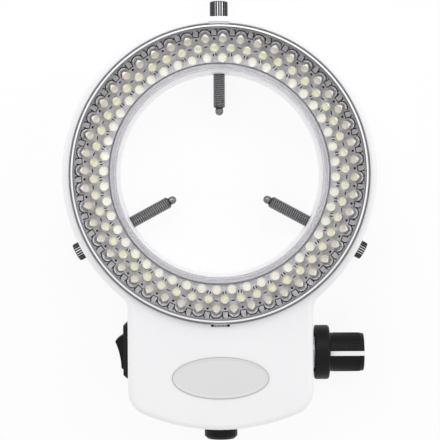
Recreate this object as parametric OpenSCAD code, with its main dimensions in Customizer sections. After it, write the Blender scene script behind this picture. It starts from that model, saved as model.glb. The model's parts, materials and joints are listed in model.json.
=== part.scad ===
// Microscope ring light: a ring of lamps that clamps round a microscope's nose,
// with its driver, rocker switch and dimmer in a box at one side of the ring.
// It lies on its back. +Z is the lamp side and +Y points away from the box.
// The origin is on the ring's axis, in the plane of the back. Sizes are in millimetres.

/* [Ring housing] */
// Outer diameter of the ring
ring_d = 100; // [97:0.5:106]
// Width of the ring, from its outside to the bore that goes over the microscope's nose
ring_w = 17.5; // [17.25:0.25:19]
// Height of the housing's front face above the back
housing_h = 23.5; // [23:0.5:27]
// Wall of the front housing
wall = 2.3; // [2:0.1:2.5]
// Rounding of the front housing's outer edge
edge_r = 2; // [1:0.1:2.5]
// Thickness of the rear cover
rear_t = 3; // [2.6:0.1:3.4]
// Rounding of the rear cover's outer edge
rear_edge_r = 0.8; // [0.3:0.1:1.2]
// Wall of the tube that lines the bore
tube_t = 2; // [1.6:0.1:2.2]

/* [Control box] */
// Width of the box
box_w = 59; // [57:0.5:66]
// Length of the box's side, from the ring's edge to the centre of its corner
box_side = 18.935; // [18:0.005:24]
// Radius of the box's bowed end
box_arc_r = 62; // [58:1:80]
// Corner radius of the box
box_corner_r = 8; // [7:0.5:9]
// Radius of the hollow corner between ring and box
neck_r = 5; // [3:0.5:7]

/* [Lamps] */
// Lamps in one row
lamps_per_row = 48; // [44:1:50]
// Turn of the lamp rows about the ring's axis, in degrees
lamp_turn = -1.7; // [-3.7:0.1:3.7]
// Diameter of a lamp
lamp_d = 3; // [2.6:0.1:3.1]
// Diameter of a lamp's base flange
lamp_flange_d = 3.8; // [3.4:0.1:3.9]
// Length of a lamp from its base to the tip of its dome
lamp_len = 5.3; // [4.8:0.1:5.6]
// How far the lamps lean towards the axis, in degrees
lamp_tilt = 18; // [12:1:20]
// Distance between the rows, along the radius
row_step = 3.05; // [2.9:0.05:3.1]
// Thickness of the conical plate that the lamps sit on
plate_t = 1.2; // [0.8:0.1:1.5]
// Thickness of the lamp circuit board
board_t = 1.5; // [1:0.1:1.6]

/* [Clear cover] */
// How far the clear cover stands above the housing's front face
cover_proud = 4.5; // [4:0.1:6]
// Thickness of the clear cover's front
cover_t = 1.4; // [1:0.1:1.6]
// Thickness of the clear cover's walls
cover_wall = 1.2; // [1:0.1:1.3]
// Gap between the clear cover and the housing
cover_gap = 0.5; // [0.3:0.05:0.6]
// Width of the clear cover's two snap tabs
tab_w = 6; // [4:0.5:8]

/* [Thumb screws] */
// Thread diameter of a thumb screw
screw_d = 4; // [3:0.5:4]
// Length of a thumb screw under its head
screw_len = 30; // [26:0.5:32]
// Diameter of a thumb screw's head
head_d = 5.8; // [5.6:0.1:7]
// Length of a thumb screw's head
head_len = 7; // [6:0.5:9]
// How far the lower two heads stand out of the ring
head_stand = 3.2; // [3:0.1:5]
// How much further out the top screw is turned
top_back_off = 2.8; // [0:0.7:4.2]
// Height of the thumb screws above the back
screw_z = 8.5; // [8.2:0.1:9]
// Diameter of the turned-down tip
tip_d = 2.6; // [2:0.1:2.9]
// Length of the turned-down tip
tip_len = 2.9; // [2:0.1:4]

/* [Rocker switch] */
// Distance of the rocker's pivot from the ring's edge
switch_drop = 7; // [6.9:0.1:9]
// Length of the switch's bezel
bezel_l = 17.9; // [16.5:0.1:19]
// Width of the switch's bezel
bezel_w = 12; // [11:0.5:13]
// How far the bezel stands out of the wall
bezel_proud = 1.7; // [1.4:0.1:2]
// Length of the rocker
rocker_l = 12; // [11:0.1:12.4]
// Width of the rocker
rocker_w = 7.2; // [6.6:0.1:7.4]
// Height of the rocker's ends above its pivot
rocker_rise = 4; // [3.6:0.1:4.2]
// Tilt of the rocker at each end of its travel, in degrees
rocker_tilt = 13; // [10:1:14]
// Depth of the switch body behind the bezel
switch_depth = 11; // [10.6:0.1:13]

/* [Dimmer] */
// Distance of the dimmer's axis from the ring's edge
knob_drop = 7.6; // [7:0.1:10]
// Diameter of the knob's skirt
skirt_d = 17.5; // [16:0.5:20]
// Thickness of the knob's skirt
skirt_t = 4.8; // [4.6:0.1:6]
// Diameter of the knob's grip
knob_d = 12.5; // [11:0.5:14]
// Length of the knob's grip
knob_len = 11.1; // [9.5:0.1:14]
// Diameter of the dimmer's shaft
shaft_d = 6; // [5:0.5:6]
// Gap from the potentiometer's case to the box's front and back
pot_gap = 1.5; // [1.3:0.1:2]
// Depth of the potentiometer's case
pot_depth = 7.5; // [7:0.1:9]

/* [Power inlet] */
// Diameter of the inlet's flange
inlet_flange_d = 10.6; // [10:0.2:12]
// How far the flange stands out
inlet_proud = 3.8; // [2.5:0.1:5]
// Diameter of the inlet's barrel
inlet_barrel_d = 8; // [7.6:0.1:8.4]
// Bore of the socket
socket_d = 5.7; // [5.5:0.1:6]
// Diameter of the socket's centre pin
inlet_pin_d = 2; // [1.7:0.1:2.5]
// How far the inlet lies below the height of the switch and the dimmer
inlet_drop = 0.5; // [0:0.1:1]

/* [Badge] */
// Width of the oval plate
badge_w = 30.8; // [24:0.2:36]
// Height of the oval plate
badge_h = 13.4; // [10:0.2:16]
// Thickness of the oval plate
badge_t = 0.45; // [0.3:0.05:0.8]
// Distance of the plate's centre from the ring's edge
badge_drop = 14.7; // [12:0.1:17]

/* [Driver board] */
// Gap at each end of the driver board, to the switch and to the dimmer
driver_gap = 3; // [2.5:0.1:3.5]
// Width of the driver board
driver_w = 16; // [15.5:0.5:16.5]
// Thickness of the driver board
driver_t = 1.6; // [1:0.1:1.8]
// Height of the driver board above the rear cover
driver_lift = 2; // [1.5:0.1:2.2]

/* [Hidden] */
$fn = 96;

// Clearances
eps = 0.5;
run_fit = 0.05;
seat_fit = 0.02;
loose_fit = 0.15;
head_fit = 0.4;

// Housing
ring_r = ring_d / 2;
bore_r = ring_r - ring_w;
cavity_r = ring_r - wall;
tube_r = bore_r + tube_t;
tube_drop = 2.5;
tube_top = housing_h - tube_drop;
front_t = wall + 0.2;
box_room = housing_h - front_t - rear_t;
control_z = rear_t + box_room / 2;
box_x = box_w / 2;
corner_x = box_x - box_corner_r;
corner_y = -ring_r - box_side;
arc_y = corner_y + sqrt(pow(box_arc_r - box_corner_r, 2) - pow(corner_x, 2));
end_y = arc_y - box_arc_r;
arc_half = atan2(corner_x, arc_y - corner_y);
corner_push = 0.15;
corner_crisp = 0.1;
corner_place = [corner_x + corner_push * sin(arc_half), corner_y - corner_push * cos(arc_half)];
neck_x = box_x + neck_r;
neck_y = -sqrt(pow(ring_r + neck_r, 2) - pow(neck_x, 2));

// Cover screws and their bosses
boss_r = 3.2;
boss_sink = 0.4;
boss_ring_r = cavity_r - boss_r + boss_sink;
boss_angles = [45, 135, 225, 315];
boss_places = concat(
    [for (a = boss_angles) [boss_ring_r * cos(a), boss_ring_r * sin(a)]],
    [[corner_x, corner_y], [-corner_x, corner_y]]
);
tapper_r = 1.3;
tapper_len = 8;
tapper_head_r = 2.5;
tapper_head_t = 1.6;
tapper_floor = 1.1;
tapper_seat = rear_t - tapper_floor;

// Thumb screws
screw_r = screw_d / 2;
head_r = head_d / 2;
screw_angles = [90, 208.5, 331.5];
head_end = ring_r + head_stand;
under_head = head_end - head_len;
screw_tip = under_head - screw_len;
stud_in_head = head_len - 1.8;
insert_wall = 1;
insert_r = screw_r + insert_wall;
insert_boss_r = insert_r + 1.2;
insert_len = 5.8;
insert_in = bore_r + 1.1;
insert_out = insert_in + insert_len;

// Lamp stack
board_z = screw_z + insert_boss_r + 0.3;
board_top = board_z + board_t;
board_in = tube_r + 0.7;
board_out = cavity_r - 0.3;
cover_z = housing_h + cover_proud;
cover_out = cavity_r - cover_gap;
cover_in = bore_r + 0.6;
channel_in = cover_in + cover_wall;
channel_out = cover_out - cover_wall;
lamp_r = lamp_d / 2;
lamp_flange_r = lamp_flange_d / 2;
lamp_flange_t = 1;
lamp_gap = 0.6;
lamp_lift = 0.03;
leg_r = 0.25;
leg_x = 1;
leg_sink = 0.6;
leg_hole_r = 1.4;
row_middle = (channel_in + channel_out) / 2 + lamp_len / 2 * sin(lamp_tilt);
row_radii = [row_middle - row_step, row_middle, row_middle + row_step];
outer_base_z = cover_z - cover_t - lamp_gap - lamp_len * cos(lamp_tilt);
plate_in = channel_in + 0.8;
plate_out = channel_out - loose_fit;
skirt_wall = 0.8;
function plate_z(r) = outer_base_z + (r - row_radii[2]) * tan(lamp_tilt);
lamp_pitch = 360 / lamps_per_row;
row_turns = [lamp_turn, lamp_turn + lamp_pitch / 2, lamp_turn];
chip = [2, 1.25, 0.55];
chip_ring_r = row_middle;
chip_turn = 10;
tab_reach = cavity_r + wall / 3;

// Rocker switch
pivot_in = 0.5;
pivot_x = -box_x + pivot_in;
pivot_y = -ring_r - switch_drop;
bezel_shift = 0.6;
bezel_chamfer = 1;
rocker_r = rocker_l / 2;
rocker_back = 2;
rocker_face_r = 22;
rocker_dip = 0.45;
trunnion_r = 0.9;
mouth_l = rocker_l + 2 * loose_fit;
mouth_w = rocker_w + 2 * loose_fit;
switch_wall = 0.9;
body_l = mouth_l + 2 * switch_wall;
body_w = mouth_w + 2 * switch_wall;
switch_floor_t = 1.2;
switch_floor_x = -box_x + switch_depth;
plunger_r = 0.85;
plunger_reach = 5.5;
pocket_r = plunger_r + run_fit;
pocket_top = 1;
spring_len = 1.4;
spring_wall = 0.3;
contact_x = pivot_x + plunger_reach + 0.12;
contact_t = 0.5;
contact_l = 8;
contact_w = 3;
contact_bump_r = 0.4;
contact_tilt = rocker_tilt * 8 / 13;
blade_t = 0.8;
blade_w = 3;
blade_out = 5.3;
blade_x = switch_floor_x + blade_out;
blade_gap = 0.08;
end_blade_y = pivot_y - 3.2;
contact_back = contact_x + contact_t;

// Dimmer
knob_y = -ring_r - knob_drop;
knob_gap = 0.7;
knob_x = box_x + knob_gap;
grip_x = knob_x + skirt_t;
knob_end = grip_x + knob_len;
knob_draft = 0.15;
shaft_r = shaft_d / 2;
shaft_in_knob = 8;
bushing_r = shaft_r + 0.6;
bushing_flange_r = 6;
bushing_flange_t = 1.2;
washer_r = 5.4;
washer_t = 0.5;
nut_flats = 10;
nut_t = 2;
nut_r = nut_flats / 2 / cos(30);
bushing_x = box_x - wall - bushing_flange_t;
bushing_end = box_x + washer_t + nut_t + 0.5;
nut_room_r = nut_r + 0.8;
nut_room_x = bushing_end + 0.5;
pot_r = box_room / 2 - pot_gap;
pot_wall = 0.6;
pot_x = bushing_x - pot_depth;
wafer_t = 1.2;
wafer_x = bushing_x - 0.4 - wafer_t;
wafer_r = pot_r - pot_wall - 0.1;
lug_t = 0.35;
lug_w = 1.6;
lug_step = 2.5;
lug_out = pot_r + 2.2;
wiper_r = 5;
wiper_t = 0.8;
wiper_x = wafer_x - 1.8;
shaft_tail_x = pot_x + pot_wall + 0.3;
pointer_w = 1.47;
pointer_sink = 0.5;
pointer_proud = 0.15;

// Power inlet
inlet_z = control_z - inlet_drop;
pad_out = end_y - 0.2;
pad_in = end_y + wall + 0.3;
pad_r = inlet_flange_d / 2 + 0.7;
flange_chamfer = 1;
inlet_r = inlet_barrel_d / 2;
socket_r = socket_d / 2;
inlet_len = 11;
inlet_plug_t = 2.5;
inlet_back = pad_out + inlet_len;
inlet_tail = 3;
tail_r = 0.5;
inlet_tip = pad_out - inlet_proud;
inlet_nut_flats = inlet_barrel_d + 2.4;
inlet_nut_t = 2;
leaf_w = 2;
leaf_t = 0.3;
leaf_gap = 0.25;
leaf_z = socket_r - leaf_gap - leaf_t;

// Driver board
driver_l = pot_x - switch_floor_x - 2 * driver_gap;
driver_x = (pot_x + switch_floor_x) / 2;
driver_y = -ring_r - 9;
driver_z = rear_t + driver_lift;
driver_top = driver_z + driver_t;
post_r = 2.2;
post_inset = 2.2;
post_x = driver_l / 2 - post_inset;
post_y = driver_w / 2 - post_inset;
post_places = [for (sx = [-1, 1], sy = [-1, 1]) [driver_x + sx * post_x, driver_y + sy * post_y]];
board_screw_r = 0.9;
board_screw_head_r = 1.8;
board_screw_head_t = 1.2;
board_screw_deep = 1.3;
header = [6, 3, 3];
header_y = driver_y + driver_w / 2 - 0.4 - header[1] / 2;
regulator_x = driver_x + header[0] / 2 + 0.4;
dimmer_pad_x = driver_x + driver_l / 2 - 1.6;
dimmer_pad_y = driver_y;
dimmer_pad_step = 2;
wire_r = 0.6;
wire_gap_w = 18;
wire_gap_top = 9;
wire_sides = 8;

// Half section of a disc whose upper edge is rounded
module edge_section(r, h, round_r) {
    square([r, h - round_r]);
    square([r - round_r, h]);
    translate([r - round_r, h - round_r]) circle(round_r);
}

// Cross-section of the box's straight part, with both upper edges rounded
module box_section(half_w, h, round_r) {
    translate([-half_w, 0]) square([2 * half_w, h - round_r]);
    translate([-half_w + round_r, 0]) square([2 * (half_w - round_r), h]);
    for (s = [-1, 1]) translate([s * (half_w - round_r), h - round_r]) circle(round_r);
}

// Section of the hollow corner's cutter, which flares out over the rounded edge
module neck_cutter_section(h, round_r) {
    difference() {
        translate([0, -eps]) square([neck_r + round_r, h + 2 * eps]);
        translate([neck_r, -2 * eps]) square([round_r + eps, h - round_r + 2 * eps]);
        translate([neck_r + round_r, h - round_r]) circle(round_r);
    }
}

// Full outline of ring and box as a block from z = 0, with its upper edge rounded.
// The corners stand a hair proud, with a crisper edge, so that their faces cross the others cleanly.
module outline_block(h, round_r) {
    rotate_extrude() edge_section(ring_r, h, round_r);
    for (s = [-1, 1]) translate([s * corner_place[0], corner_place[1], 0])
        rotate_extrude() edge_section(box_corner_r, h, round_r - corner_crisp);
    translate([0, arc_y, 0]) rotate([0, 0, 270 - arc_half])
        rotate_extrude(angle = 2 * arc_half) edge_section(box_arc_r, h, round_r);
    translate([0, neck_y, 0]) rotate([90, 0, 0])
        linear_extrude(neck_y - corner_y) box_section(box_x, h, round_r);
    difference() {
        linear_extrude(h) polygon([[0, 0], [neck_x, neck_y], [-neck_x, neck_y]]);
        for (s = [-1, 1]) translate([s * neck_x, neck_y, 0])
            rotate_extrude() neck_cutter_section(h, round_r);
    }
}

// Inside of the box, as a flat outline
module box_inside() {
    difference() {
        union() {
            for (s = [-1, 1]) translate([s * corner_x, corner_y]) circle(box_corner_r - wall);
            translate([wall - box_x, corner_y]) square([2 * (box_x - wall), neck_y / 2 - corner_y]);
            intersection() {
                translate([0, arc_y]) circle(box_arc_r - wall);
                polygon([
                    [0, arc_y],
                    [2 * corner_x, arc_y + 2 * (corner_y - arc_y)],
                    [-2 * corner_x, arc_y + 2 * (corner_y - arc_y)]
                ]);
            }
        }
        circle(ring_r);
    }
}

// Puts its children on a thumb screw's axis, with local +Z pointing out of the ring
module on_screw_axis(angle) {
    rotate([0, 0, angle]) translate([0, 0, screw_z]) rotate([0, 90, 0]) children();
}

// Puts its children on the inlet's axis, with local +Z pointing into the box
module on_inlet_axis() {
    translate([0, 0, inlet_z]) rotate([-90, 0, 0]) children();
}

// Puts its children on the dimmer's axis, with local +Z pointing out of the wall
module on_dimmer_axis() {
    translate([0, knob_y, control_z]) rotate([0, 90, 0]) children();
}

module front_housing() {
    color("whitesmoke") difference() {
        union() {
            difference() {
                translate([0, 0, rear_t]) outline_block(housing_h - rear_t, edge_r);
                translate([0, 0, rear_t - eps]) cylinder(r = cavity_r, h = housing_h);
                translate([0, 0, rear_t - eps])
                    linear_extrude(housing_h - front_t - rear_t + eps) box_inside();
            }
            for (p = [for (i = [0:3]) boss_places[i]]) translate([p[0], p[1], rear_t])
                cylinder(r = boss_r, h = board_z - rear_t);
            for (p = [for (i = [4:5]) boss_places[i]]) translate([p[0], p[1], rear_t])
                cylinder(r = boss_r, h = housing_h - front_t / 2 - rear_t);
            on_inlet_axis() translate([0, 0, pad_out]) cylinder(r = pad_r, h = pad_in - pad_out);
        }
        for (p = boss_places) translate([p[0], p[1], 0])
            cylinder(r = tapper_r + seat_fit, h = tapper_seat + tapper_len + eps);
        for (a = screw_angles) on_screw_axis(a)
            translate([0, 0, cavity_r - 2]) cylinder(r = head_r + head_fit, h = wall + 4);
        translate([-wire_gap_w / 2, -ring_r - eps, rear_t - eps])
            cube([wire_gap_w, wall + 3, wire_gap_top + eps]);
        for (turn = [0, 180]) rotate([0, 0, turn])
            translate([-tab_w / 2 - loose_fit, cavity_r - wall, tube_top])
                cube([tab_w + 2 * loose_fit, tab_reach - cavity_r + wall + loose_fit, housing_h]);
        translate([-box_x - eps, pivot_y + bezel_shift - body_l / 2 - loose_fit,
                   control_z - body_w / 2 - loose_fit])
            cube([wall + 2 * eps, body_l + 2 * loose_fit, body_w + 2 * loose_fit]);
        on_dimmer_axis() translate([0, 0, box_x - wall - eps])
            cylinder(r = bushing_r + loose_fit, h = wall + 2 * eps);
        on_inlet_axis() translate([0, 0, pad_out - eps])
            cylinder(r = inlet_r + loose_fit, h = pad_in - pad_out + 2 * eps);
    }
}

module rear_cover() {
    color("white") difference() {
        union() {
            translate([0, 0, rear_t]) mirror([0, 0, 1]) outline_block(rear_t, rear_edge_r);
            cylinder(r = tube_r, h = tube_top);
            for (a = screw_angles) on_screw_axis(a)
                translate([0, 0, bore_r + tube_t / 2]) cylinder(r = insert_boss_r, h = insert_out - bore_r);
            for (p = post_places) translate([p[0], p[1], rear_t / 2])
                cylinder(r = post_r, h = driver_z - rear_t / 2);
        }
        translate([0, 0, -eps]) cylinder(r = bore_r, h = tube_top + 2 * eps);
        for (a = screw_angles) on_screw_axis(a) {
            translate([0, 0, bore_r - 2]) cylinder(r = screw_r + 0.2, h = 5);
            translate([0, 0, insert_in]) cylinder(r = insert_r, h = insert_len + tube_t);
        }
        for (p = boss_places) translate([p[0], p[1], -eps]) {
            cylinder(r = tapper_r + 0.2, h = rear_t + 2 * eps);
            cylinder(r = tapper_head_r + 0.3, h = tapper_seat + eps);
        }
        for (p = post_places) translate([p[0], p[1], driver_z - board_screw_deep - eps])
            cylinder(r = board_screw_r + seat_fit, h = board_screw_deep + 2 * eps);
    }
}

module cover_screws() {
    color("silver") for (p = boss_places) translate([p[0], p[1], tapper_seat]) {
        cylinder(r = tapper_r, h = tapper_len);
        difference() {
            translate([0, 0, -tapper_head_t]) cylinder(r = tapper_head_r, h = tapper_head_t);
            for (turn = [0, 90]) rotate([0, 0, turn])
                translate([-1.5, -0.3, -tapper_head_t - eps]) cube([3, 0.6, 0.8 + eps]);
        }
    }
}

module lens_cover() {
    color([0.9, 0.93, 0.95, 0.4]) {
        rotate_extrude() {
            translate([channel_out, board_top]) square([cover_wall, cover_z - cover_wall - board_top]);
            translate([cover_in, tube_top]) square([cover_wall, cover_z - cover_wall - tube_top]);
            translate([cover_in, cover_z - cover_t])
                square([cover_out - cover_in, cover_t - cover_wall]);
            translate([channel_in, cover_z - cover_t]) square([channel_out - channel_in, cover_t]);
            for (r = [channel_in, channel_out]) translate([r, cover_z - cover_wall]) circle(cover_wall);
        }
        for (s = [-1, 1]) intersection() {
            translate([-tab_w / 2, s * cavity_r - wall, tube_top + loose_fit])
                cube([tab_w, 2 * wall, housing_h - tube_top - 2 * loose_fit]);
            difference() {
                cylinder(r = tab_reach, h = cover_z);
                translate([0, 0, -eps]) cylinder(r = cover_out - cover_wall / 2, h = cover_z + 2 * eps);
            }
        }
    }
}

module badge_plate() {
    color("lightgray") translate([0, -ring_r - badge_drop, housing_h]) linear_extrude(badge_t)
        polygon([for (a = [0:5:355]) [badge_w / 2 * cos(a), badge_h / 2 * sin(a)]]);
}

module lamp_plate() {
    drop = plate_t / cos(lamp_tilt);
    color("gray") difference() {
        rotate_extrude() polygon([
            [plate_in, board_top],
            [plate_in + skirt_wall, board_top],
            [plate_in + skirt_wall, plate_z(plate_in + skirt_wall) - drop],
            [plate_out - skirt_wall, plate_z(plate_out - skirt_wall) - drop],
            [plate_out - skirt_wall, board_top],
            [plate_out, board_top],
            [plate_out, plate_z(plate_out)],
            [plate_in, plate_z(plate_in)]
        ]);
        for (row = [0:2], i = [0:lamps_per_row - 1])
            on_lamp_axis(row, i) translate([0, 0, -2 * plate_t])
                cylinder(r = leg_hole_r, h = 4 * plate_t, $fn = 24);
    }
}

module led_board() {
    color("darkgreen") translate([0, 0, board_z]) difference() {
        cylinder(r = board_out, h = board_t);
        translate([0, 0, -eps]) cylinder(r = board_in, h = board_t + 2 * eps);
    }
}

// Puts its children on the axis of one lamp, with local z = 0 at its base
module on_lamp_axis(row, i) {
    rotate([0, 0, row_turns[row] + i * lamp_pitch])
        translate([row_radii[row], 0, plate_z(row_radii[row]) + lamp_lift])
            rotate([0, -lamp_tilt, 0]) children();
}

// One lamp: flange, body and dome, with its two legs down to the board
module lamp(row, i) {
    on_lamp_axis(row, i) rotate_extrude() {
        square([lamp_flange_r, lamp_flange_t]);
        square([lamp_r, lamp_len - lamp_r]);
        intersection() {
            translate([0, lamp_len - lamp_r]) circle(lamp_r);
            translate([0, lamp_len - lamp_r - eps]) square([lamp_r, lamp_r + eps]);
        }
    }
    rotate([0, 0, row_turns[row] + i * lamp_pitch]) for (s = [-1, 1])
        translate([row_radii[row], s * leg_x, board_top])
            cylinder(r = leg_r, h = plate_z(row_radii[row]) - board_top + leg_sink, $fn = 16);
}

module lamp_row(row) {
    color("lemonchiffon") for (i = [0:lamps_per_row - 1]) lamp(row, i);
}

module leds_inner() {
    lamp_row(0);
}

module leds_middle() {
    lamp_row(1);
}

module leds_outer() {
    lamp_row(2);
}

module board_resistors() {
    color("black") for (a = [0:30:330]) rotate([0, 0, a + chip_turn])
        translate([chip_ring_r - chip[0] / 2, -chip[1] / 2, board_z - chip[2]]) cube(chip);
}

module thread_inserts() {
    color("goldenrod") for (a = screw_angles) on_screw_axis(a) translate([0, 0, insert_in]) difference() {
        cylinder(r = insert_r - seat_fit, h = insert_len);
        translate([0, 0, -eps]) cylinder(r = screw_r + run_fit, h = insert_len + 2 * eps);
    }
}

// Threaded stud with its turned-down, round-ended tip
module thumb_stud(angle, back_off) {
    tip_r = tip_d / 2;
    color("silver") on_screw_axis(angle) translate([0, 0, screw_tip + back_off]) rotate_extrude() {
        intersection() {
            translate([0, tip_r]) circle(tip_r);
            square([tip_r, tip_r + eps]);
        }
        translate([0, tip_r]) square([tip_r, tip_len - tip_r + eps]);
        translate([0, tip_len]) square([screw_r, screw_len - tip_len + stud_in_head]);
    }
}

module thumb_stud_top() {
    thumb_stud(screw_angles[0], top_back_off);
}

module thumb_stud_left() {
    thumb_stud(screw_angles[1], 0);
}

module thumb_stud_right() {
    thumb_stud(screw_angles[2], 0);
}

// Round head with chamfered ends and a blind hole for the stud
module thumb_head(angle, back_off) {
    chamfer = 0.5;
    color("silver") on_screw_axis(angle) translate([0, 0, under_head + back_off]) difference() {
        rotate_extrude() polygon([
            [0, 0],
            [head_r - chamfer, 0],
            [head_r, chamfer],
            [head_r, head_len - chamfer],
            [head_r - chamfer, head_len],
            [0, head_len]
        ]);
        translate([0, 0, -eps]) cylinder(r = screw_r + run_fit, h = stud_in_head + eps + 0.1);
    }
}

module thumb_head_top() {
    thumb_head(screw_angles[0], top_back_off);
}

module thumb_head_left() {
    thumb_head(screw_angles[1], 0);
}

module thumb_head_right() {
    thumb_head(screw_angles[2], 0);
}

module switch_frame() {
    bezel_y = pivot_y + bezel_shift;
    color([0.08, 0.08, 0.08]) difference() {
        union() {
            translate([0, 0, control_z - bezel_w / 2]) linear_extrude(bezel_w) polygon([
                [-box_x, bezel_y - bezel_l / 2],
                [-box_x, bezel_y + bezel_l / 2],
                [-box_x - bezel_proud, bezel_y + bezel_l / 2 - bezel_chamfer],
                [-box_x - bezel_proud, bezel_y - bezel_l / 2 + bezel_chamfer]
            ]);
            translate([-box_x - eps, bezel_y - body_l / 2, control_z - body_w / 2])
                cube([switch_depth + eps, body_l, body_w]);
        }
        translate([-box_x - bezel_proud - eps, pivot_y - mouth_l / 2, control_z - mouth_w / 2])
            cube([switch_depth - switch_floor_t + bezel_proud + eps, mouth_l, mouth_w]);
        translate([pivot_x, pivot_y, control_z])
            cylinder(r = trunnion_r + run_fit, h = body_w + 2 * eps, center = true);
        for (y = [pivot_y, end_blade_y])
            translate([switch_floor_x - switch_floor_t - eps, y - blade_t / 2 - seat_fit,
                       control_z - blade_w / 2 - seat_fit])
                cube([switch_floor_t + 2 * eps, blade_t + 2 * seat_fit, blade_w + 2 * seat_fit]);
    }
}

// Puts its children on the rocker's pivot, tipped to its rest, with local +X pointing outwards
module on_rocker_pivot() {
    translate([pivot_x, pivot_y, control_z]) rotate([0, 0, 180 + rocker_tilt]) children();
}

module switch_rocker() {
    color([0.1, 0.1, 0.1]) on_rocker_pivot() difference() {
        union() {
            linear_extrude(rocker_w, center = true) difference() {
                intersection() {
                    circle(rocker_r);
                    translate([-rocker_back, -rocker_r]) square([rocker_back + rocker_rise, 2 * rocker_r]);
                }
                translate([rocker_rise - rocker_dip + rocker_face_r, 0]) circle(rocker_face_r);
            }
            cylinder(r = trunnion_r, h = body_w - switch_wall / 2, center = true);
        }
        translate([pocket_top, 0, 0]) rotate([0, -90, 0])
            cylinder(r = pocket_r, h = rocker_back + pocket_top + eps);
    }
}

module switch_plunger() {
    shank = plunger_reach - plunger_r - (spring_len - pocket_top);
    color("ivory") on_rocker_pivot() translate([pocket_top - spring_len, 0, 0]) rotate([0, -90, 0])
        rotate_extrude() {
            square([plunger_r, shank]);
            intersection() {
                translate([0, shank]) circle(plunger_r);
                translate([0, shank - eps]) square([plunger_r, plunger_r + eps]);
            }
        }
}

module switch_spring() {
    color("silver") on_rocker_pivot() translate([pocket_top - spring_len, 0, 0]) rotate([0, 90, 0])
        difference() {
            cylinder(r = plunger_r, h = spring_len);
            translate([0, 0, -eps]) cylinder(r = plunger_r - spring_wall, h = spring_len + 2 * eps);
        }
}

module switch_contact() {
    color("goldenrod") translate([contact_back, pivot_y, control_z]) rotate([0, 0, -contact_tilt]) {
        translate([-contact_t, -contact_l / 2, -contact_w / 2]) cube([contact_t, contact_l, contact_w]);
        cylinder(r = contact_bump_r, h = contact_w, center = true);
    }
}

module switch_terminals() {
    centre_x = contact_back + contact_bump_r + blade_gap;
    swing = abs(end_blade_y - pivot_y) + blade_t / 2;
    end_x = contact_back + swing * tan(contact_tilt) + blade_gap;
    color("silver") for (blade = [[centre_x, pivot_y], [end_x, end_blade_y]])
        translate([blade[0], blade[1] - blade_t / 2, control_z - blade_w / 2])
            cube([blade_x - blade[0], blade_t, blade_w]);
}

module pot_case() {
    color("silver") on_dimmer_axis() difference() {
        translate([0, 0, pot_x]) cylinder(r = pot_r, h = pot_depth);
        translate([0, 0, pot_x + pot_wall]) cylinder(r = pot_r - pot_wall, h = pot_depth);
        translate([-lug_step - lug_w, 0, bushing_x - lug_t - 2 * loose_fit])
            cube([2 * (lug_step + lug_w), pot_r + eps, 2]);
    }
}

module pot_wafer() {
    color("saddlebrown") on_dimmer_axis() translate([0, 0, wafer_x]) difference() {
        cylinder(r = wafer_r, h = wafer_t);
        translate([0, 0, -eps]) cylinder(r = shaft_r + 0.4, h = wafer_t + 2 * eps);
    }
}

module pot_terminals() {
    first_y = shaft_r + 0.8;
    color("silver") on_dimmer_axis() for (i = [-1, 0, 1])
        translate([i * lug_step - lug_w / 2, first_y, wafer_x + wafer_t])
            cube([lug_w, lug_out - first_y, lug_t]);
}

module pot_bushing() {
    color("darkkhaki") on_dimmer_axis() difference() {
        union() {
            translate([0, 0, bushing_x]) cylinder(r = bushing_flange_r, h = bushing_flange_t);
            translate([0, 0, bushing_x]) cylinder(r = bushing_r, h = bushing_end - bushing_x);
        }
        translate([0, 0, bushing_x - eps])
            cylinder(r = shaft_r + run_fit, h = bushing_end - bushing_x + 2 * eps);
    }
}

module pot_washer() {
    color("silver") on_dimmer_axis() translate([0, 0, box_x]) difference() {
        cylinder(r = washer_r, h = washer_t);
        translate([0, 0, -eps]) cylinder(r = bushing_r + loose_fit, h = washer_t + 2 * eps);
    }
}

module pot_nut() {
    color("silver") on_dimmer_axis() translate([0, 0, box_x + washer_t]) difference() {
        cylinder(r = nut_r, h = nut_t, $fn = 6);
        translate([0, 0, -eps]) cylinder(r = bushing_r + seat_fit, h = nut_t + 2 * eps);
    }
}

module dimmer_shaft() {
    color("silver") on_dimmer_axis() translate([0, 0, shaft_tail_x])
        cylinder(r = shaft_r, h = grip_x + shaft_in_knob - shaft_tail_x);
}

module dimmer_wiper() {
    finger_w = 1.2;
    color("goldenrod") on_dimmer_axis() translate([0, 0, wiper_x]) difference() {
        union() {
            cylinder(r = wiper_r, h = wiper_t);
            translate([-wiper_r, -finger_w / 2, 0])
                cube([finger_w, finger_w, wafer_x - wiper_x - loose_fit]);
        }
        translate([0, 0, -eps]) cylinder(r = shaft_r + seat_fit, h = wiper_t + 2 * eps);
    }
}

module dimmer_knob() {
    skirt_r = skirt_d / 2;
    grip_r = knob_d / 2;
    chamfer = 0.6;
    color([0.1, 0.1, 0.1]) on_dimmer_axis() difference() {
        rotate_extrude() polygon([
            [0, knob_x],
            [skirt_r - chamfer, knob_x],
            [skirt_r, knob_x + chamfer],
            [skirt_r, grip_x - chamfer],
            [skirt_r - chamfer, grip_x],
            [grip_r, grip_x],
            [grip_r - knob_draft, knob_end - chamfer],
            [grip_r - knob_draft - chamfer, knob_end],
            [0, knob_end]
        ]);
        translate([0, 0, knob_x - eps]) cylinder(r = nut_room_r, h = nut_room_x - knob_x + eps);
        translate([0, 0, knob_x]) cylinder(r = shaft_r + seat_fit, h = skirt_t + shaft_in_knob + 0.1);
        pointer_bar(loose_fit / 3);
    }
}

// Straight bar of the knob's pointer line, grown all round by a clearance
module pointer_bar(grow) {
    grip_r = knob_d / 2;
    translate([-grip_r - pointer_proud, -pointer_w / 2 - grow, grip_x + loose_fit - grow])
        cube([pointer_sink + pointer_proud + grow, pointer_w + 2 * grow, knob_len]);
}

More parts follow.
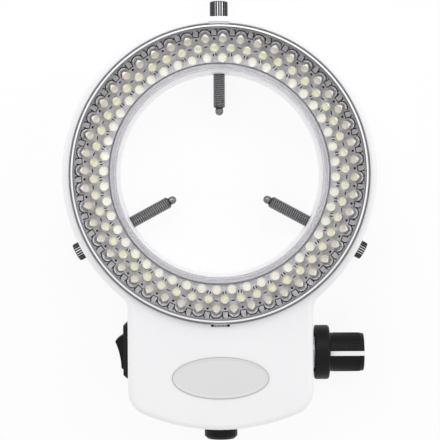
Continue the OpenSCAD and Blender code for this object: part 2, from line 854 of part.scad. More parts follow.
module knob_pointer() {
    color("white") on_dimmer_axis() intersection() {
        pointer_bar(0);
        cylinder(r = knob_d, h = knob_end);
    }
}

module inlet_body() {
    flange_r = inlet_flange_d / 2;
    color([0.1, 0.1, 0.1]) on_inlet_axis() difference() {
        rotate_extrude() polygon([
            [0, inlet_tip],
            [flange_r - flange_chamfer, inlet_tip],
            [flange_r, inlet_tip + flange_chamfer],
            [flange_r, pad_out],
            [inlet_r, pad_out],
            [inlet_r, inlet_back],
            [0, inlet_back]
        ]);
        translate([0, 0, inlet_tip - eps])
            cylinder(r = socket_r, h = inlet_back - inlet_plug_t - inlet_tip + eps);
        translate([0, 0, inlet_tip]) cylinder(r = tail_r + seat_fit, h = 2 * (inlet_back - inlet_tip));
        translate([0, 0, inlet_back - 2 * inlet_plug_t]) leaf_bar(seat_fit, 3 * inlet_plug_t);
    }
}

// Flat bar on the socket's wall, of a given length and grown all round by a clearance
module leaf_bar(grow, length) {
    translate([-leaf_w / 2 - grow, -leaf_z - leaf_t - grow, 0])
        cube([leaf_w + 2 * grow, leaf_t + 2 * grow, length]);
}

module inlet_nut() {
    color("silver") on_inlet_axis() translate([0, 0, pad_in]) difference() {
        cylinder(r = inlet_nut_flats / 2 / cos(30), h = inlet_nut_t, $fn = 6);
        translate([0, 0, -eps]) cylinder(r = inlet_r + seat_fit, h = inlet_nut_t + 2 * eps);
    }
}

module inlet_pin() {
    pin_top = inlet_back - inlet_plug_t;
    pin_start = inlet_tip + 0.8;
    color("goldenrod") on_inlet_axis() {
        translate([0, 0, pin_start]) cylinder(r = inlet_pin_d / 2, h = pin_top - pin_start);
        translate([0, 0, pin_top]) cylinder(r = tail_r, h = inlet_plug_t + inlet_tail);
    }
}

module inlet_contact() {
    leaf_start = inlet_tip + inlet_proud;
    color("goldenrod") on_inlet_axis() translate([0, 0, leaf_start])
        leaf_bar(0, inlet_back + inlet_tail - leaf_start);
}

module driver_board() {
    color("darkgreen") difference() {
        translate([driver_x - driver_l / 2, driver_y - driver_w / 2, driver_z])
            cube([driver_l, driver_w, driver_t]);
        for (p = post_places) translate([p[0], p[1], driver_z - eps])
            cylinder(r = board_screw_r + 0.1, h = driver_t + 2 * eps);
    }
}

module board_screws() {
    color("silver") for (p = post_places) translate([p[0], p[1], driver_top]) {
        cylinder(r = board_screw_head_r, h = board_screw_head_t);
        translate([0, 0, -driver_t - board_screw_deep])
            cylinder(r = board_screw_r, h = driver_t + board_screw_deep);
    }
}

module driver_regulator() {
    case = [5, 4, 1.5];
    lead = [0.6, 1, 0.3];
    color([0.15, 0.15, 0.15]) translate([regulator_x, driver_y + 2, driver_top]) {
        cube(case);
        for (i = [0:2], y = [-lead[1], case[1]]) translate([0.7 + 1.5 * i, y, 0]) cube(lead);
    }
}

module driver_capacitor() {
    color("midnightblue") translate([driver_x + 5, driver_y - 2.8, driver_top]) cylinder(r = 3.15, h = 8);
}

module driver_inductor() {
    color("dimgray") translate([driver_x - 3.6, driver_y - 0.5, driver_top]) rotate_extrude() polygon([
        [0, 0], [2.9, 0], [2.9, 0.8], [2.2, 0.8], [2.2, 3.2], [2.9, 3.2], [2.9, 4], [0, 4]
    ]);
}

module driver_resistors() {
    color("black") for (p = [[-5.5, 5.5], [-5.5, 3.7], [-6.5, -5.4], [-6.5, -7.2]])
        translate([driver_x + p[0], driver_y + p[1], driver_top]) cube(chip);
}

module wire_header() {
    color("ivory") translate([-header[0] / 2, header_y - header[1] / 2, driver_top]) cube(header);
}

// Unit vector along v
function unit(v) = v / norm(v);

// Direction of a route at its point i
function along(p, i) = unit(p[min(i + 1, len(p) - 1)] - p[max(i - 1, 0)]);

// Cross directions along a route, carried from point to point without twist
function cross_dirs(p, i, dirs) = i == len(p) ? dirs :
    let (t = along(p, i), last = dirs[i - 1])
    cross_dirs(p, i + 1, concat(dirs, [unit(last - (last * t) * t)]));

// Round wire along a route of points, as one closed surface
module wire(p) {
    n = wire_sides;
    t0 = along(p, 0);
    first = unit(cross(t0, abs(t0[2]) > 0.7 ? [1, 0, 0] : [0, 0, 1]));
    dirs = cross_dirs(p, 1, [first]);
    points = [
        for (i = [0:len(p) - 1], k = [0:n - 1])
            let (up = cross(along(p, i), dirs[i]), a = 360 * k / n)
            p[i] + wire_r * (cos(a) * dirs[i] + sin(a) * up)
    ];
    sides = [
        for (i = [0:len(p) - 2], k = [0:n - 1], half = [0, 1])
            let (a = i * n + k, b = i * n + (k + 1) % n)
            half == 0 ? [a, a + n, b + n] : [a, b + n, b]
    ];
    last = (len(p) - 1) * n;
    caps = [
        for (k = [1:n - 2], end = [0, 1])
            end == 0 ? [0, k, k + 1] : [last, last + k + 1, last + k]
    ];
    polyhedron(points = points, faces = concat(sides, caps));
}

module supply_wires() {
    start_y = inlet_back + inlet_tail;
    leaf_up = inlet_z + leaf_z + leaf_t / 2;
    color("red") {
        wire([
            [0, start_y, inlet_z], [0, start_y + 0.7, inlet_z], [-0.6, start_y + 1.7, inlet_z - 0.5],
            [-1.8, start_y + 2.6, inlet_z - 1.8], [-2.4, start_y + 2.9, inlet_z - 3.2],
            [-2.4, start_y + 2.9, driver_top]
        ]);
        wire([
            [0, start_y, leaf_up], [0, start_y + 0.7, leaf_up], [0.5, start_y + 1.8, leaf_up - 0.4],
            [1, start_y + 2.9, leaf_up - 2], [1, start_y + 3.1, leaf_up - 4],
            [1, start_y + 3.1, driver_top]
        ]);
    }
}

module switch_wires() {
    color("black") for (y = [pivot_y, end_blade_y]) wire([
        [blade_x, y, control_z], [blade_x + 1.2, y, control_z], [blade_x + 2.4, y, control_z - 1.5],
        [blade_x + 2.8, y, control_z - 3], [blade_x + 2.8, y, driver_top]
    ]);
}

module dimmer_wires() {
    lug_x = wafer_x + wafer_t;
    lug_y = knob_y + lug_out - lug_w / 2;
    color("blue") for (i = [-1, 0, 1]) wire([
        [lug_x, lug_y, control_z + i * lug_step],
        [pot_x + 2, lug_y, control_z + i * lug_step],
        [pot_x - 1.5, lug_y - 0.8, control_z + i * 2.2],
        [dimmer_pad_x + 0.8, dimmer_pad_y + 5 - i * 1.3, control_z - 1 + i * 1.6],
        [dimmer_pad_x, dimmer_pad_y + 0.6 - i * dimmer_pad_step, control_z - 2.3 + i * 0.8],
        [dimmer_pad_x, dimmer_pad_y - i * dimmer_pad_step, driver_top + 1.2],
        [dimmer_pad_x, dimmer_pad_y - i * dimmer_pad_step, driver_top]
    ]);
}

module lamp_wires() {
    plug_y = header_y + header[1] / 2;
    plug_z = driver_top + header[2] / 2;
    color("red") for (x = [-1.5, 1.5]) wire([
        [x, -cavity_r + 4, board_z], [x, -cavity_r + 4, board_z - 2], [x, -cavity_r + 2.8, board_z - 4.2],
        [x, -cavity_r, plug_z], [x, plug_y + 1, plug_z], [x, plug_y, plug_z]
    ]);
}

front_housing();
rear_cover();
cover_screws();
lens_cover();
badge_plate();
lamp_plate();
led_board();
leds_inner();
leds_middle();
leds_outer();
board_resistors();
thread_inserts();
thumb_stud_top();
thumb_stud_left();
thumb_stud_right();
thumb_head_top();
thumb_head_left();
thumb_head_right();
switch_frame();
switch_rocker();
switch_plunger();
switch_spring();
switch_contact();
switch_terminals();
pot_case();
pot_wafer();
pot_terminals();
pot_bushing();
pot_washer();
pot_nut();
dimmer_shaft();
dimmer_wiper();
dimmer_knob();
knob_pointer();
inlet_body();
inlet_nut();
inlet_pin();
inlet_contact();
driver_board();
driver_regulator();
driver_capacitor();
driver_inductor();
driver_resistors();
wire_header();
board_screws();
supply_wires();
switch_wires();
dimmer_wires();
lamp_wires();
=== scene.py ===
import json
import math

import bmesh
import bpy
from mathutils import Matrix, Vector


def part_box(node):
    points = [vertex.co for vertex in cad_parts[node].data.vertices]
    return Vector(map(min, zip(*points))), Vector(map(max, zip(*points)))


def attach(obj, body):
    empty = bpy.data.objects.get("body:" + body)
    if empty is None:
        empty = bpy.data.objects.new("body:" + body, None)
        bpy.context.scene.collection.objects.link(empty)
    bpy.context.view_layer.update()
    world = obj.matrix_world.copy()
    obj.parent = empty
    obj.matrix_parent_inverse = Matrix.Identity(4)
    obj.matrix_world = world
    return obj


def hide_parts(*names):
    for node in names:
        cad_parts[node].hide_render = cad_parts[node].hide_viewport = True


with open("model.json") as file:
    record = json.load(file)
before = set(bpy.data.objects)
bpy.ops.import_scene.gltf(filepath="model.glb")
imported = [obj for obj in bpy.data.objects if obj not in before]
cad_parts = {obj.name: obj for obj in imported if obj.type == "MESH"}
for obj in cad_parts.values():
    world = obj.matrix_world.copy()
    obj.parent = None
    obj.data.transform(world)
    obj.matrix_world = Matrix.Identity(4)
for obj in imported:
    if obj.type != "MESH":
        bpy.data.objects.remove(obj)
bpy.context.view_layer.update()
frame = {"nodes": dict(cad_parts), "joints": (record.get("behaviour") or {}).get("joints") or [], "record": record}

bl_info = {
    "name": "Microscope ring light",
    "version": (1, 0, 0),
    "blender": (4, 5, 0),
    "location": "3D View > Sidebar > Ring light",
    "description": "Dresses a ring light's frame: housing, clear cover, lamps, screws and controls",
    "category": "Object",
}

MM = 0.001
DEG = math.pi / 180

# Places and sizes read from the frame
JOINTS = {joint["name"]: joint for joint in frame["joints"]}
MOUNTS = {mount["name"]: mount for mount in frame["record"]["mounts"]}
HOUSING_LO, HOUSING_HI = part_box("front_housing")
COVER_LO, COVER_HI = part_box("lens_cover")
PLATE_LO, PLATE_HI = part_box("lamp_plate")
KNOB_LO, KNOB_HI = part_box("dimmer_knob")
POINTER_LO, POINTER_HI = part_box("knob_pointer")
FRAME_LO, FRAME_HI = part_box("switch_frame")
INLET_LO, INLET_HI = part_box("inlet_body")
BADGE_LO, BADGE_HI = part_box("badge_plate")
DRIVER_LO, DRIVER_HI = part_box("driver_board")
HEAD_LO, HEAD_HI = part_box("thumb_head_top")
RING_R = HOUSING_HI.x
BORE_R = MOUNTS["objective_clamp"]["dims"]["r_mm"] * MM
SEAM_Z = HOUSING_LO.z
FRONT_Z = HOUSING_HI.z
BOX_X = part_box("pot_washer")[0].x
CONTROL_Z = (KNOB_LO.z + KNOB_HI.z) / 2
COVER_R = COVER_HI.x
COVER_Z = COVER_HI.z

# Sizes of the moulded shells
WALL = 2.3 * MM
CAVITY_R = RING_R - WALL
TUBE_R = BORE_R + 2 * MM
TUBE_Z = FRONT_Z - 2.5 * MM
BOX_CEILING = FRONT_Z - WALL - 0.2 * MM
PAD_PROUD = 0.2 * MM
BOX_END_Y = HOUSING_LO.y + PAD_PROUD
BOX_ARC_R = 62 * MM
CORNER_R = 8 * MM
NECK_R = 5 * MM
ARC_Y = BOX_END_Y + BOX_ARC_R
CORNER_X = BOX_X - CORNER_R
CORNER_Y = ARC_Y - math.sqrt((BOX_ARC_R - CORNER_R) ** 2 - CORNER_X ** 2)
ARC_HALF = math.degrees(math.atan2(CORNER_X, ARC_Y - CORNER_Y))
NECK_X = BOX_X + NECK_R
NECK_Y = -math.sqrt((RING_R + NECK_R) ** 2 - NECK_X ** 2)
NECK_ANGLE = math.degrees(math.atan2(NECK_Y, NECK_X))

# Holes, pads and posts of the shells
INLET_PAD_R = 6 * MM
INLET_HOLE_R = 4.15 * MM
BUSHING_HOLE_R = 3.75 * MM
LEAD_GAP = 9 * MM
BOSS_R = 4.2 * MM
STUD_HOLE_R = 2.2 * MM
INSERT_HOLE_R = 3 * MM
POST_R = 2.2 * MM
SCREW_SEAT_R = 2.8 * MM
SCREW_SEAT_Z = 1.9 * MM
SCREW_HOLE_R = 1.5 * MM

# Matrix onto the inlet's axis: local Z points into the box
INLET_MID = (INLET_LO + INLET_HI) / 2
INLET_PLACE = Matrix.Translation((INLET_MID.x, 0, INLET_MID.z)) @ Matrix.Rotation(-90 * DEG, 4, "X")

# Sizes of the clear cover
COVER_IN = BORE_R + 0.6 * MM
COVER_WALL = 1.2 * MM
COVER_T = 1.4 * MM
TAB_W = 6 * MM
TAB_REACH = {1: COVER_HI.y - 0.35 * MM, -1: -COVER_LO.y}
TAB_Z = FRONT_Z - 0.05 * MM
SKIRT_Z = FRONT_Z - 0.3 * MM
# Top of the skirt's opaque grey foot: painted shade of the clear wall, high enough to throw a shadow on the
# housing's face
FOOT_Z = FRONT_Z + 2 * MM
RING_SIDES = 256

# Sizes of the thumb screws
SCREW_Z = JOINTS["head_top_turn"]["pos_m"][2]
SCREW_ANGLES = {side: math.degrees(math.atan2(*JOINTS[f"stud_{side}_travel"]["axis"][1::-1]))
                for side in ("top", "left", "right")}
SCREW_R = 2 * MM
THREAD_DEPTH = 0.24 * MM
THREAD_SIDES = 28
THREAD_STEPS = 6
SCREW_LEN = 30 * MM
TIP_R = 1.3 * MM
TIP_LEN = 2.9 * MM
HEAD_R = (HEAD_HI.x - HEAD_LO.x) / 2
HEAD_LEN = 7 * MM
STUD_IN_HEAD = 5.2 * MM
HEAD_HOLE_R = HEAD_R + 0.4 * MM

# Sizes of the lamp field
LAMP_TILT = 18 * DEG
LAMP_TURN = -1.7 * DEG
LAMP_R = 1.5 * MM
LAMP_FLANGE_R = 1.9 * MM
LAMP_LEN = 5.3 * MM
DOME_Z = LAMP_LEN - LAMP_R
CHANNEL_IN = COVER_IN + COVER_WALL
CHANNEL_OUT = COVER_R - COVER_WALL
ROW_STEP = 3.05 * MM
ROW_MIDDLE = (CHANNEL_IN + CHANNEL_OUT) / 2 + LAMP_LEN / 2 * math.sin(LAMP_TILT)
ROWS = {"inner": ROW_MIDDLE - ROW_STEP, "middle": ROW_MIDDLE, "outer": ROW_MIDDLE + ROW_STEP}

# How far the painted shade marks and the painted highlights of the lamps are turned from lamp to lamp
MARK_SPIN = 22 * DEG
GLINT_SPIN = 14 * DEG
FRAME_SPIN = 11 * DEG

# Sizes of the rocker switch
SWITCH_BODY_L = 14.1 * MM
SWITCH_BODY_W = 9.3 * MM
MOUTH_L = 12.3 * MM
MOUTH_W = 7.5 * MM

# Light that the floor and the surroundings give, where white is 1, and the floor's share of it
FLOOR_GLOW = 1.25
SKY_GLOW = 0.78
GLOW_SHARE = 0.86

# Soft boxes: place, size and watts
LIGHT_AIM = (0, -0.02, 0.01)
LIGHTS = {"key": ((-0.05, 0.2, 0.33), 0.25, 0.4), "fill": ((0.8, 0.3, 0.8), 0.4, 1.5)}

# Look of the lamps, row by row: cup radius and shift, places of the painted highlight arcs, inset of the pits
LAMP_LOOKS = {
    "inner": (1.15 * MM, 0, (), 0),
    "middle": (0.86 * MM, -0.1 * MM, (1.25 * MM,), 0.5 * MM),
    "outer": (0.75 * MM, -0.35 * MM, (1.1 * MM, 1.36 * MM, 1.72 * MM), 1.1 * MM),
}


class RingLightSizes(bpy.types.PropertyGroup):
    """Counts and sizes of the finishing detail."""

    lamps: bpy.props.IntProperty(
        name="Lamps in a row", description="Lamps in each of the three rows", default=48, min=3)
    knurls: bpy.props.IntProperty(
        name="Knurl ridges", description="Ridges round a thumb screw's head", default=20, min=6)
    flutes: bpy.props.IntProperty(
        name="Knob flutes", description="Ridges round the dimmer knob's grip", default=40, min=6)
    pitch: bpy.props.FloatProperty(
        name="Thread pitch", description="Pitch of the thumb screws' thread", default=0.7 * MM,
        min=0.1 * MM, unit="LENGTH", precision=5)
    edge_round: bpy.props.FloatProperty(
        name="Edge rounding", description="Rounding of the housing's front edge", default=2 * MM,
        min=0.5 * MM, unit="LENGTH", precision=5)
    back_round: bpy.props.FloatProperty(
        name="Back rounding", description="Rounding of the rear cover's edge", default=0.8 * MM,
        min=0.2 * MM, unit="LENGTH", precision=5)


class RingLightColours(bpy.types.PropertyGroup):
    """Colours of the finishes."""

    housing: bpy.props.FloatVectorProperty(
        name="Housing", description="White moulded plastic", subtype="COLOR", size=3,
        default=(0.875, 0.872, 0.886), min=0, max=1)
    badge: bpy.props.FloatVectorProperty(
        name="Badge", description="Grey oval plate", subtype="COLOR", size=3,
        default=(0.715, 0.715, 0.718), min=0, max=1)
    plate: bpy.props.FloatVectorProperty(
        name="Lamp plate", description="Grey plate between the lamps", subtype="COLOR", size=3,
        default=(0.5, 0.494, 0.502), min=0, max=1)
    black: bpy.props.FloatVectorProperty(
        name="Controls", description="Black plastic of switch, knob and inlet", subtype="COLOR",
        size=3, default=(0.006, 0.006, 0.007), min=0, max=1)
    steel: bpy.props.FloatVectorProperty(
        name="Screws", description="Plated steel of the thumb screws", subtype="COLOR", size=3,
        default=(0.36, 0.36, 0.37), min=0, max=1)


class RingLightStage(bpy.types.PropertyGroup):
    """Where the camera stands and how it looks."""

    camera_height: bpy.props.FloatProperty(
        name="Camera height", description="Height of the camera above the housing's front",
        default=0.58, min=0.1, unit="LENGTH")
    camera_place: bpy.props.FloatVectorProperty(
        name="Camera place", description="Where the camera stands over the ring", size=2,
        default=(0.7 * MM, -4 * MM), subtype="XYZ", unit="LENGTH", precision=5)
    aim: bpy.props.FloatVectorProperty(
        name="Aim", description="Point at the picture's centre, on the front face", size=2,
        default=(0.05 * MM, -14.6 * MM), subtype="XYZ", unit="LENGTH", precision=5)
    roll: bpy.props.FloatProperty(
        name="Roll", description="Small turn of the camera about its own axis", default=0.32 * DEG,
        subtype="ANGLE", precision=4)
    view_width: bpy.props.FloatProperty(
        name="View width", description="Width that the picture shows at the front face",
        default=139.2 * MM, min=0.01, unit="LENGTH", precision=5)


# Small tools for meshes

def arc(centre, radius, start, end, steps):
    """Points along an arc, both ends included, with angles in degrees."""
    turn = (end - start) / steps
    angles = [(start + i * turn) * DEG for i in range(steps + 1)]
    return [(centre[0] + radius * math.cos(a), centre[1] + radius * math.sin(a)) for a in angles]


def circle(radius, steps=240):
    """Points round a full circle."""
    return arc((0, 0), radius, 0, 360, steps)[:-1]


def at_height(points, z):
    """Flat points lifted to a height."""
    return [Vector((x, y, z)) for x, y in points]


def loft(bm, loops, closed=False):
    """Joins loops of points by faces and returns the vertices, loop by loop. One point is a pole."""
    rows = [[bm.verts.new(p) for p in loop] for loop in loops]
    pairs = list(zip(rows, rows[1:]))
    if closed:
        pairs.append((rows[-1], rows[0]))
    for low, high in pairs:
        count = max(len(low), len(high))
        for i in range(count):
            n = (i + 1) % count
            if len(low) == 1:
                bm.faces.new((low[0], high[n], high[i]))
            elif len(high) == 1:
                bm.faces.new((low[i], low[n], high[0]))
            else:
                bm.faces.new((low[i], low[n], high[n], high[i]))
    return rows


def capped(bm, loops):
    """Joins loops of points and closes both ends."""
    rows = loft(bm, loops)
    bm.faces.new(list(reversed(rows[0])))
    bm.faces.new(rows[-1])


def ring_edges(bm, verts):
    """Edges of a closed loop of vertices."""
    found = []
    for a, b in zip(verts, verts[1:] + verts[:1]):
        found.append(bm.edges.get((a, b)) or bm.edges.new((a, b)))
    return found


def fill(bm, loops, up):
    """Fills the flat face between closed loops, looking up or down."""
    edges = [edge for verts in loops for edge in ring_edges(bm, verts)]
    made = bmesh.ops.triangle_fill(bm, use_beauty=True, edges=edges, normal=(0, 0, up))
    for face in made["geom"]:
        if isinstance(face, bmesh.types.BMFace) and face.normal.z * up < 0:
            face.normal_flip()


def block(bm, low, high):
    """Adds a box between two corners."""
    size = Vector(high) - Vector(low)
    place = Matrix.Translation((Vector(low) + Vector(high)) / 2) @ Matrix.Diagonal((*size, 1))
    bmesh.ops.create_cube(bm, size=1, matrix=place)


def rod(bm, radius, start, end, place=Matrix(), segments=48):
    """Adds a round rod along Z between two heights, moved by a matrix."""
    middle = Matrix.Translation((0, 0, (start + end) / 2))
    bmesh.ops.create_cone(
        bm, cap_ends=True, segments=segments, radius1=radius, radius2=radius,
        depth=end - start, matrix=place @ middle)


def to_mesh(bm, name):
    """Turns a bmesh into a mesh of that name."""
    mesh = bpy.data.meshes.new(name)
    bm.to_mesh(mesh)
    bm.free()
    return mesh


def revolved(name, profile, segments, closed=False):
    """Mesh of a profile of (radius, z) points turned about Z. A point on the axis becomes a pole."""
    bm = bmesh.new()
    loft(bm, [at_height(circle(radius, segments) if radius else [(0, 0)], z)
              for radius, z in profile], closed)
    return to_mesh(bm, name)


def band(name, near, far, low, high):
    """Mesh of a flat ring between two radii and two heights."""
    return revolved(name, [(near, low), (far, low), (far, high), (near, high)], RING_SIDES, closed=True)


def ridge_mesh(name, sections, half, crest, root):
    """Ridge along Z through (z, height) sections: crest is a share of its width, root a depth."""
    bm = bmesh.new()
    capped(bm, [[(-root, -half, z), (top, -crest * half, z), (top, crest * half, z), (-root, half, z)]
                for z, top in sections])
    return to_mesh(bm, name)


def mark_painted_shades(mesh, depth_at):
    """Writes a painted shade value for each vertex by its height, for the metal finishes that paint shade: 1 takes
    their dark colour.
    """
    marks = mesh.attributes.new("groove", "FLOAT", "POINT")
    for vertex, mark in zip(mesh.vertices, marks.data):
        mark.value = depth_at(vertex.co.z)


def joined(name, meshes):
    """One mesh from several."""
    bm = bmesh.new()
    for mesh in meshes:
        bm.from_mesh(mesh)
    return to_mesh(bm, name)


def evaluated(mesh, set_up):
    """Mesh that comes out of the modifiers which set_up puts on an object that holds mesh."""
    holder = bpy.data.objects.new("holder", mesh)
    bpy.context.collection.objects.link(holder)
    set_up(holder)
    depsgraph = bpy.context.evaluated_depsgraph_get()
    result = bpy.data.meshes.new_from_object(holder.evaluated_get(depsgraph))
    bpy.data.objects.remove(holder)
    return result


def carve(mesh, tool_mesh, operation):
    """Joins a tool to a mesh or cuts it away."""
    tool = bpy.data.objects.new("tool", tool_mesh)
    bpy.context.collection.objects.link(tool)

    def set_up(holder):
        cut = holder.modifiers.new("carve", "BOOLEAN")
        cut.operation = operation
        cut.solver = "EXACT"
        cut.object = tool

    result = evaluated(mesh, set_up)
    bpy.data.objects.remove(tool)
    return result


def bevelled(mesh, width, segments=3):
    """Rounds the sharp edges."""
    def set_up(holder):
        bevel = holder.modifiers.new("round", "BEVEL")
        bevel.width = width
        bevel.segments = segments
        bevel.limit_method = "ANGLE"
        bevel.angle_limit = 35 * DEG

    return evaluated(mesh, set_up)


def smooth(mesh, angle):
    """Smooth shading with sharp edges kept and flat faces left flat."""
    mesh.shade_smooth()
    mesh.set_sharp_from_angle(angle=angle * DEG)

    def set_up(holder):
        weighted = holder.modifiers.new("normals", "WEIGHTED_NORMAL")
        weighted.keep_sharp = True

    return evaluated(mesh, set_up)


def screw_place(angle, reach):
    """Matrix onto a thumb screw's axis: local Z points out of the ring, from that reach."""
    return (Matrix.Rotation(angle * DEG, 4, "Z") @ Matrix.Translation((reach, 0, SCREW_Z))
            @ Matrix.Rotation(90 * DEG, 4, "Y"))


def upright(x, y):
    """Matrix of a rod that stands at a place."""
    return Matrix.Translation((x, y, 0))


def node_points(node):
    """Vertices of a CAD node."""
    return [vertex.co for vertex in frame["nodes"][node].data.vertices]


def piece(name, mesh, look, body, stands_for=(), angle=32):
    """Makes a piece of a finish that rides on a body and stands for CAD nodes."""
    mesh = smooth(mesh, angle)
    mesh.name = name
    mesh.materials.clear()
    mesh.materials.append(finish(look))
    obj = bpy.data.objects.new(name, mesh)
    bpy.context.scene.collection.objects.link(obj)
    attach(obj, body)
    if stands_for:
        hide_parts(*stands_for)
    return obj


# Small tools for nodes

def add_node(tree, kind, inputs, output=0, **settings):
    """Adds a node to a tree, feeds its inputs and returns one of its outputs."""
    node = tree.nodes.new(kind)
    for key, value in settings.items():
        setattr(node, key, value)
    for key, value in inputs.items():
        if isinstance(value, bpy.types.NodeSocket):
            tree.links.new(value, node.inputs[key])
        else:
            node.inputs[key].default_value = value
    return node.outputs[output]


class NodeSketch:
    """Short calls that build one geometry node tree."""

    def __init__(self, name, sockets):
        self.tree = bpy.data.node_groups.new(name, "GeometryNodeTree")
        for label, kind in sockets:
            self.tree.interface.new_socket(label, in_out="INPUT", socket_type="NodeSocket" + kind)
        self.tree.interface.new_socket("Geometry", in_out="OUTPUT", socket_type="NodeSocketGeometry")
        self.given = self.tree.nodes.new("NodeGroupInput").outputs
        self.result = self.tree.nodes.new("NodeGroupOutput")

    def add(self, kind, inputs, output=0, **settings):
        """Adds a node to this tree."""
        return add_node(self.tree, kind, inputs, output, **settings)

    def math(self, operation, *values):
        """Adds a math node."""
        return self.add("ShaderNodeMath", dict(enumerate(values)), operation=operation)

    def vector(self, x, y, z):
        """Adds a vector from three numbers."""
        return self.add("ShaderNodeCombineXYZ", {"X": x, "Y": y, "Z": z})

    def finish(self, geometry):
        """Realizes the instances, sets the material and ends the tree."""
        real = self.add("GeometryNodeRealizeInstances", {"Geometry": geometry})
        painted = self.add(
            "GeometryNodeSetMaterial", {"Geometry": real, "Material": self.given["Material"]})
        self.tree.links.new(painted, self.result.inputs["Geometry"])
        return self.tree


def ring_array_tree():
    """Tree that repeats its geometry round a circle, leaning to the axis, each copy spun a little."""
    sketch = NodeSketch("ring_array", [
        ("Geometry", "Geometry"), ("Count", "Int"), ("Radius", "Float"), ("Height", "Float"),
        ("Lean", "Float"), ("Turn", "Float"), ("Spin", "Float"), ("Material", "Material")])
    given = sketch.given
    index = sketch.add("GeometryNodeInputIndex", {})
    step = sketch.math("DIVIDE", 2 * math.pi, given["Count"])
    angle = sketch.math("ADD", sketch.math("MULTIPLY", index, step), given["Turn"])
    x = sketch.math("MULTIPLY", given["Radius"], sketch.math("COSINE", angle))
    y = sketch.math("MULTIPLY", given["Radius"], sketch.math("SINE", angle))
    points = sketch.add(
        "GeometryNodePoints",
        {"Count": given["Count"], "Position": sketch.vector(x, y, given["Height"])})
    lean = sketch.math("MULTIPLY", given["Lean"], -1.0)
    copies = sketch.add("GeometryNodeInstanceOnPoints", {
        "Points": points, "Instance": given["Geometry"],
        "Rotation": sketch.vector(0.0, lean, angle)})
    least = sketch.math("MULTIPLY", given["Spin"], -1.0)
    spin = sketch.add("FunctionNodeRandomValue", {2: least, 3: given["Spin"], "Seed": 7}, output=1,
                      data_type="FLOAT")
    spun = sketch.add("GeometryNodeRotateInstances", {
        "Instances": copies, "Rotation": sketch.vector(0.0, 0.0, spin), "Local Space": True})
    return sketch.finish(spun)


def places_tree():
    """Tree that repeats its geometry at the points of another object."""
    sketch = NodeSketch("places", [
        ("Geometry", "Geometry"), ("Places", "Object"), ("Material", "Material")])
    given = sketch.given
    info = sketch.add("GeometryNodeObjectInfo", {"Object": given["Places"]}, output="Geometry")
    copies = sketch.add(
        "GeometryNodeInstanceOnPoints", {"Points": info, "Instance": given["Geometry"]})
    return sketch.finish(copies)


def thread_tree():
    """Tree of a right-hand thread along Z, from a cylinder whose radius follows the helix."""
    sketch = NodeSketch("thread", [
        ("Geometry", "Geometry"), ("Radius", "Float"), ("Length", "Float"), ("Pitch", "Float"),
        ("Depth", "Float"), ("Sides", "Int"), ("Rows", "Int"), ("Material", "Material")])
    given = sketch.given
    core = sketch.add("GeometryNodeMeshCylinder", {
        "Vertices": given["Sides"], "Side Segments": given["Rows"], "Radius": given["Radius"],
        "Depth": given["Length"]}, output="Mesh")
    place = sketch.add("GeometryNodeInputPosition", {})
    parts = sketch.tree.nodes.new("ShaderNodeSeparateXYZ")
    sketch.tree.links.new(place, parts.inputs[0])
    x, y, z = parts.outputs
    turns = sketch.math("DIVIDE", sketch.math("ARCTAN2", y, x), 2 * math.pi)
    climb = sketch.math("DIVIDE", z, given["Pitch"])
    phase = sketch.math("FRACT", sketch.math("SUBTRACT", climb, turns))
    wave = sketch.math("ABSOLUTE", sketch.math("SUBTRACT", sketch.math("MULTIPLY", phase, 2.0), 1.0))
    cut = sketch.math("MULTIPLY", wave, sketch.math("DIVIDE", given["Depth"], given["Radius"]))
    keep = sketch.math("SUBTRACT", 1.0, cut)
    moved = sketch.vector(sketch.math("MULTIPLY", x, keep), sketch.math("MULTIPLY", y, keep), z)
    # Stores how deep each point lies in the thread's groove; the thread's finish paints shade from it.
    marked = sketch.add(
        "GeometryNodeStoreNamedAttribute", {"Geometry": core, "Name": "groove", "Value": wave})
    cut_core = sketch.add("GeometryNodeSetPosition", {"Geometry": marked, "Position": moved})
    return sketch.finish(cut_core)


TREES = {}


def grown(tree_maker, mesh, values):
    """Mesh that a geometry node tree makes from a mesh, with its inputs set by name."""
    if tree_maker not in TREES:
        TREES[tree_maker] = tree_maker()
    tree = TREES[tree_maker]
    sockets = {item.name: item.identifier for item in tree.interface.items_tree
               if item.item_type == "SOCKET" and item.in_out == "INPUT"}

    def set_up(holder):
        modifier = holder.modifiers.new("grow", "NODES")
        modifier.node_group = tree
        for name, value in values.items():
            modifier[sockets[name]] = value

    return evaluated(mesh, set_up)


# Materials

SOCKETS = {"ior": "IOR", "specular": "Specular IOR Level"}


def socket_of(surface, key):
    """Input of a shader by a short name."""
    return surface.inputs[SOCKETS.get(key) or key.replace("_", " ").title()]


def shader(name, **values):
    """New material whose principled shader has these values on its own sockets."""
    material = bpy.data.materials.new(name)
    material.use_nodes = True
    surface = material.node_tree.nodes["Principled BSDF"]
    for key, value in values.items():
        value = (*value, 1.0) if isinstance(value, (tuple, list)) else value
        socket_of(surface, key).default_value = value
    return material, material.node_tree, surface


def feed(tree, surface, **sources):
    """Links outputs to the inputs of a shader."""
    for key, source in sources.items():
        tree.links.new(source, socket_of(surface, key))


def grain(tree, scale, detail=3.0):
    """Noise on object coordinates, in grains a metre."""
    coords = add_node(tree, "ShaderNodeTexCoord", {}, "Object")
    return add_node(
        tree, "ShaderNodeTexNoise", {"Vector": coords, "Scale": scale, "Detail": detail}, "Fac")


def spread(tree, value, low, high):
    """Maps a value of 0 to 1 onto a range."""
    return add_node(
        tree, "ShaderNodeMapRange", {"Value": value, "To Min": low, "To Max": high}, "Result")


def tinted(tree, value, dark, light):
    """Colour between two, by a value of 0 to 1."""
    return add_node(
        tree, "ShaderNodeMix", {"Factor": value, "A": (*dark, 1), "B": (*light, 1)}, "Result",
        data_type="RGBA")


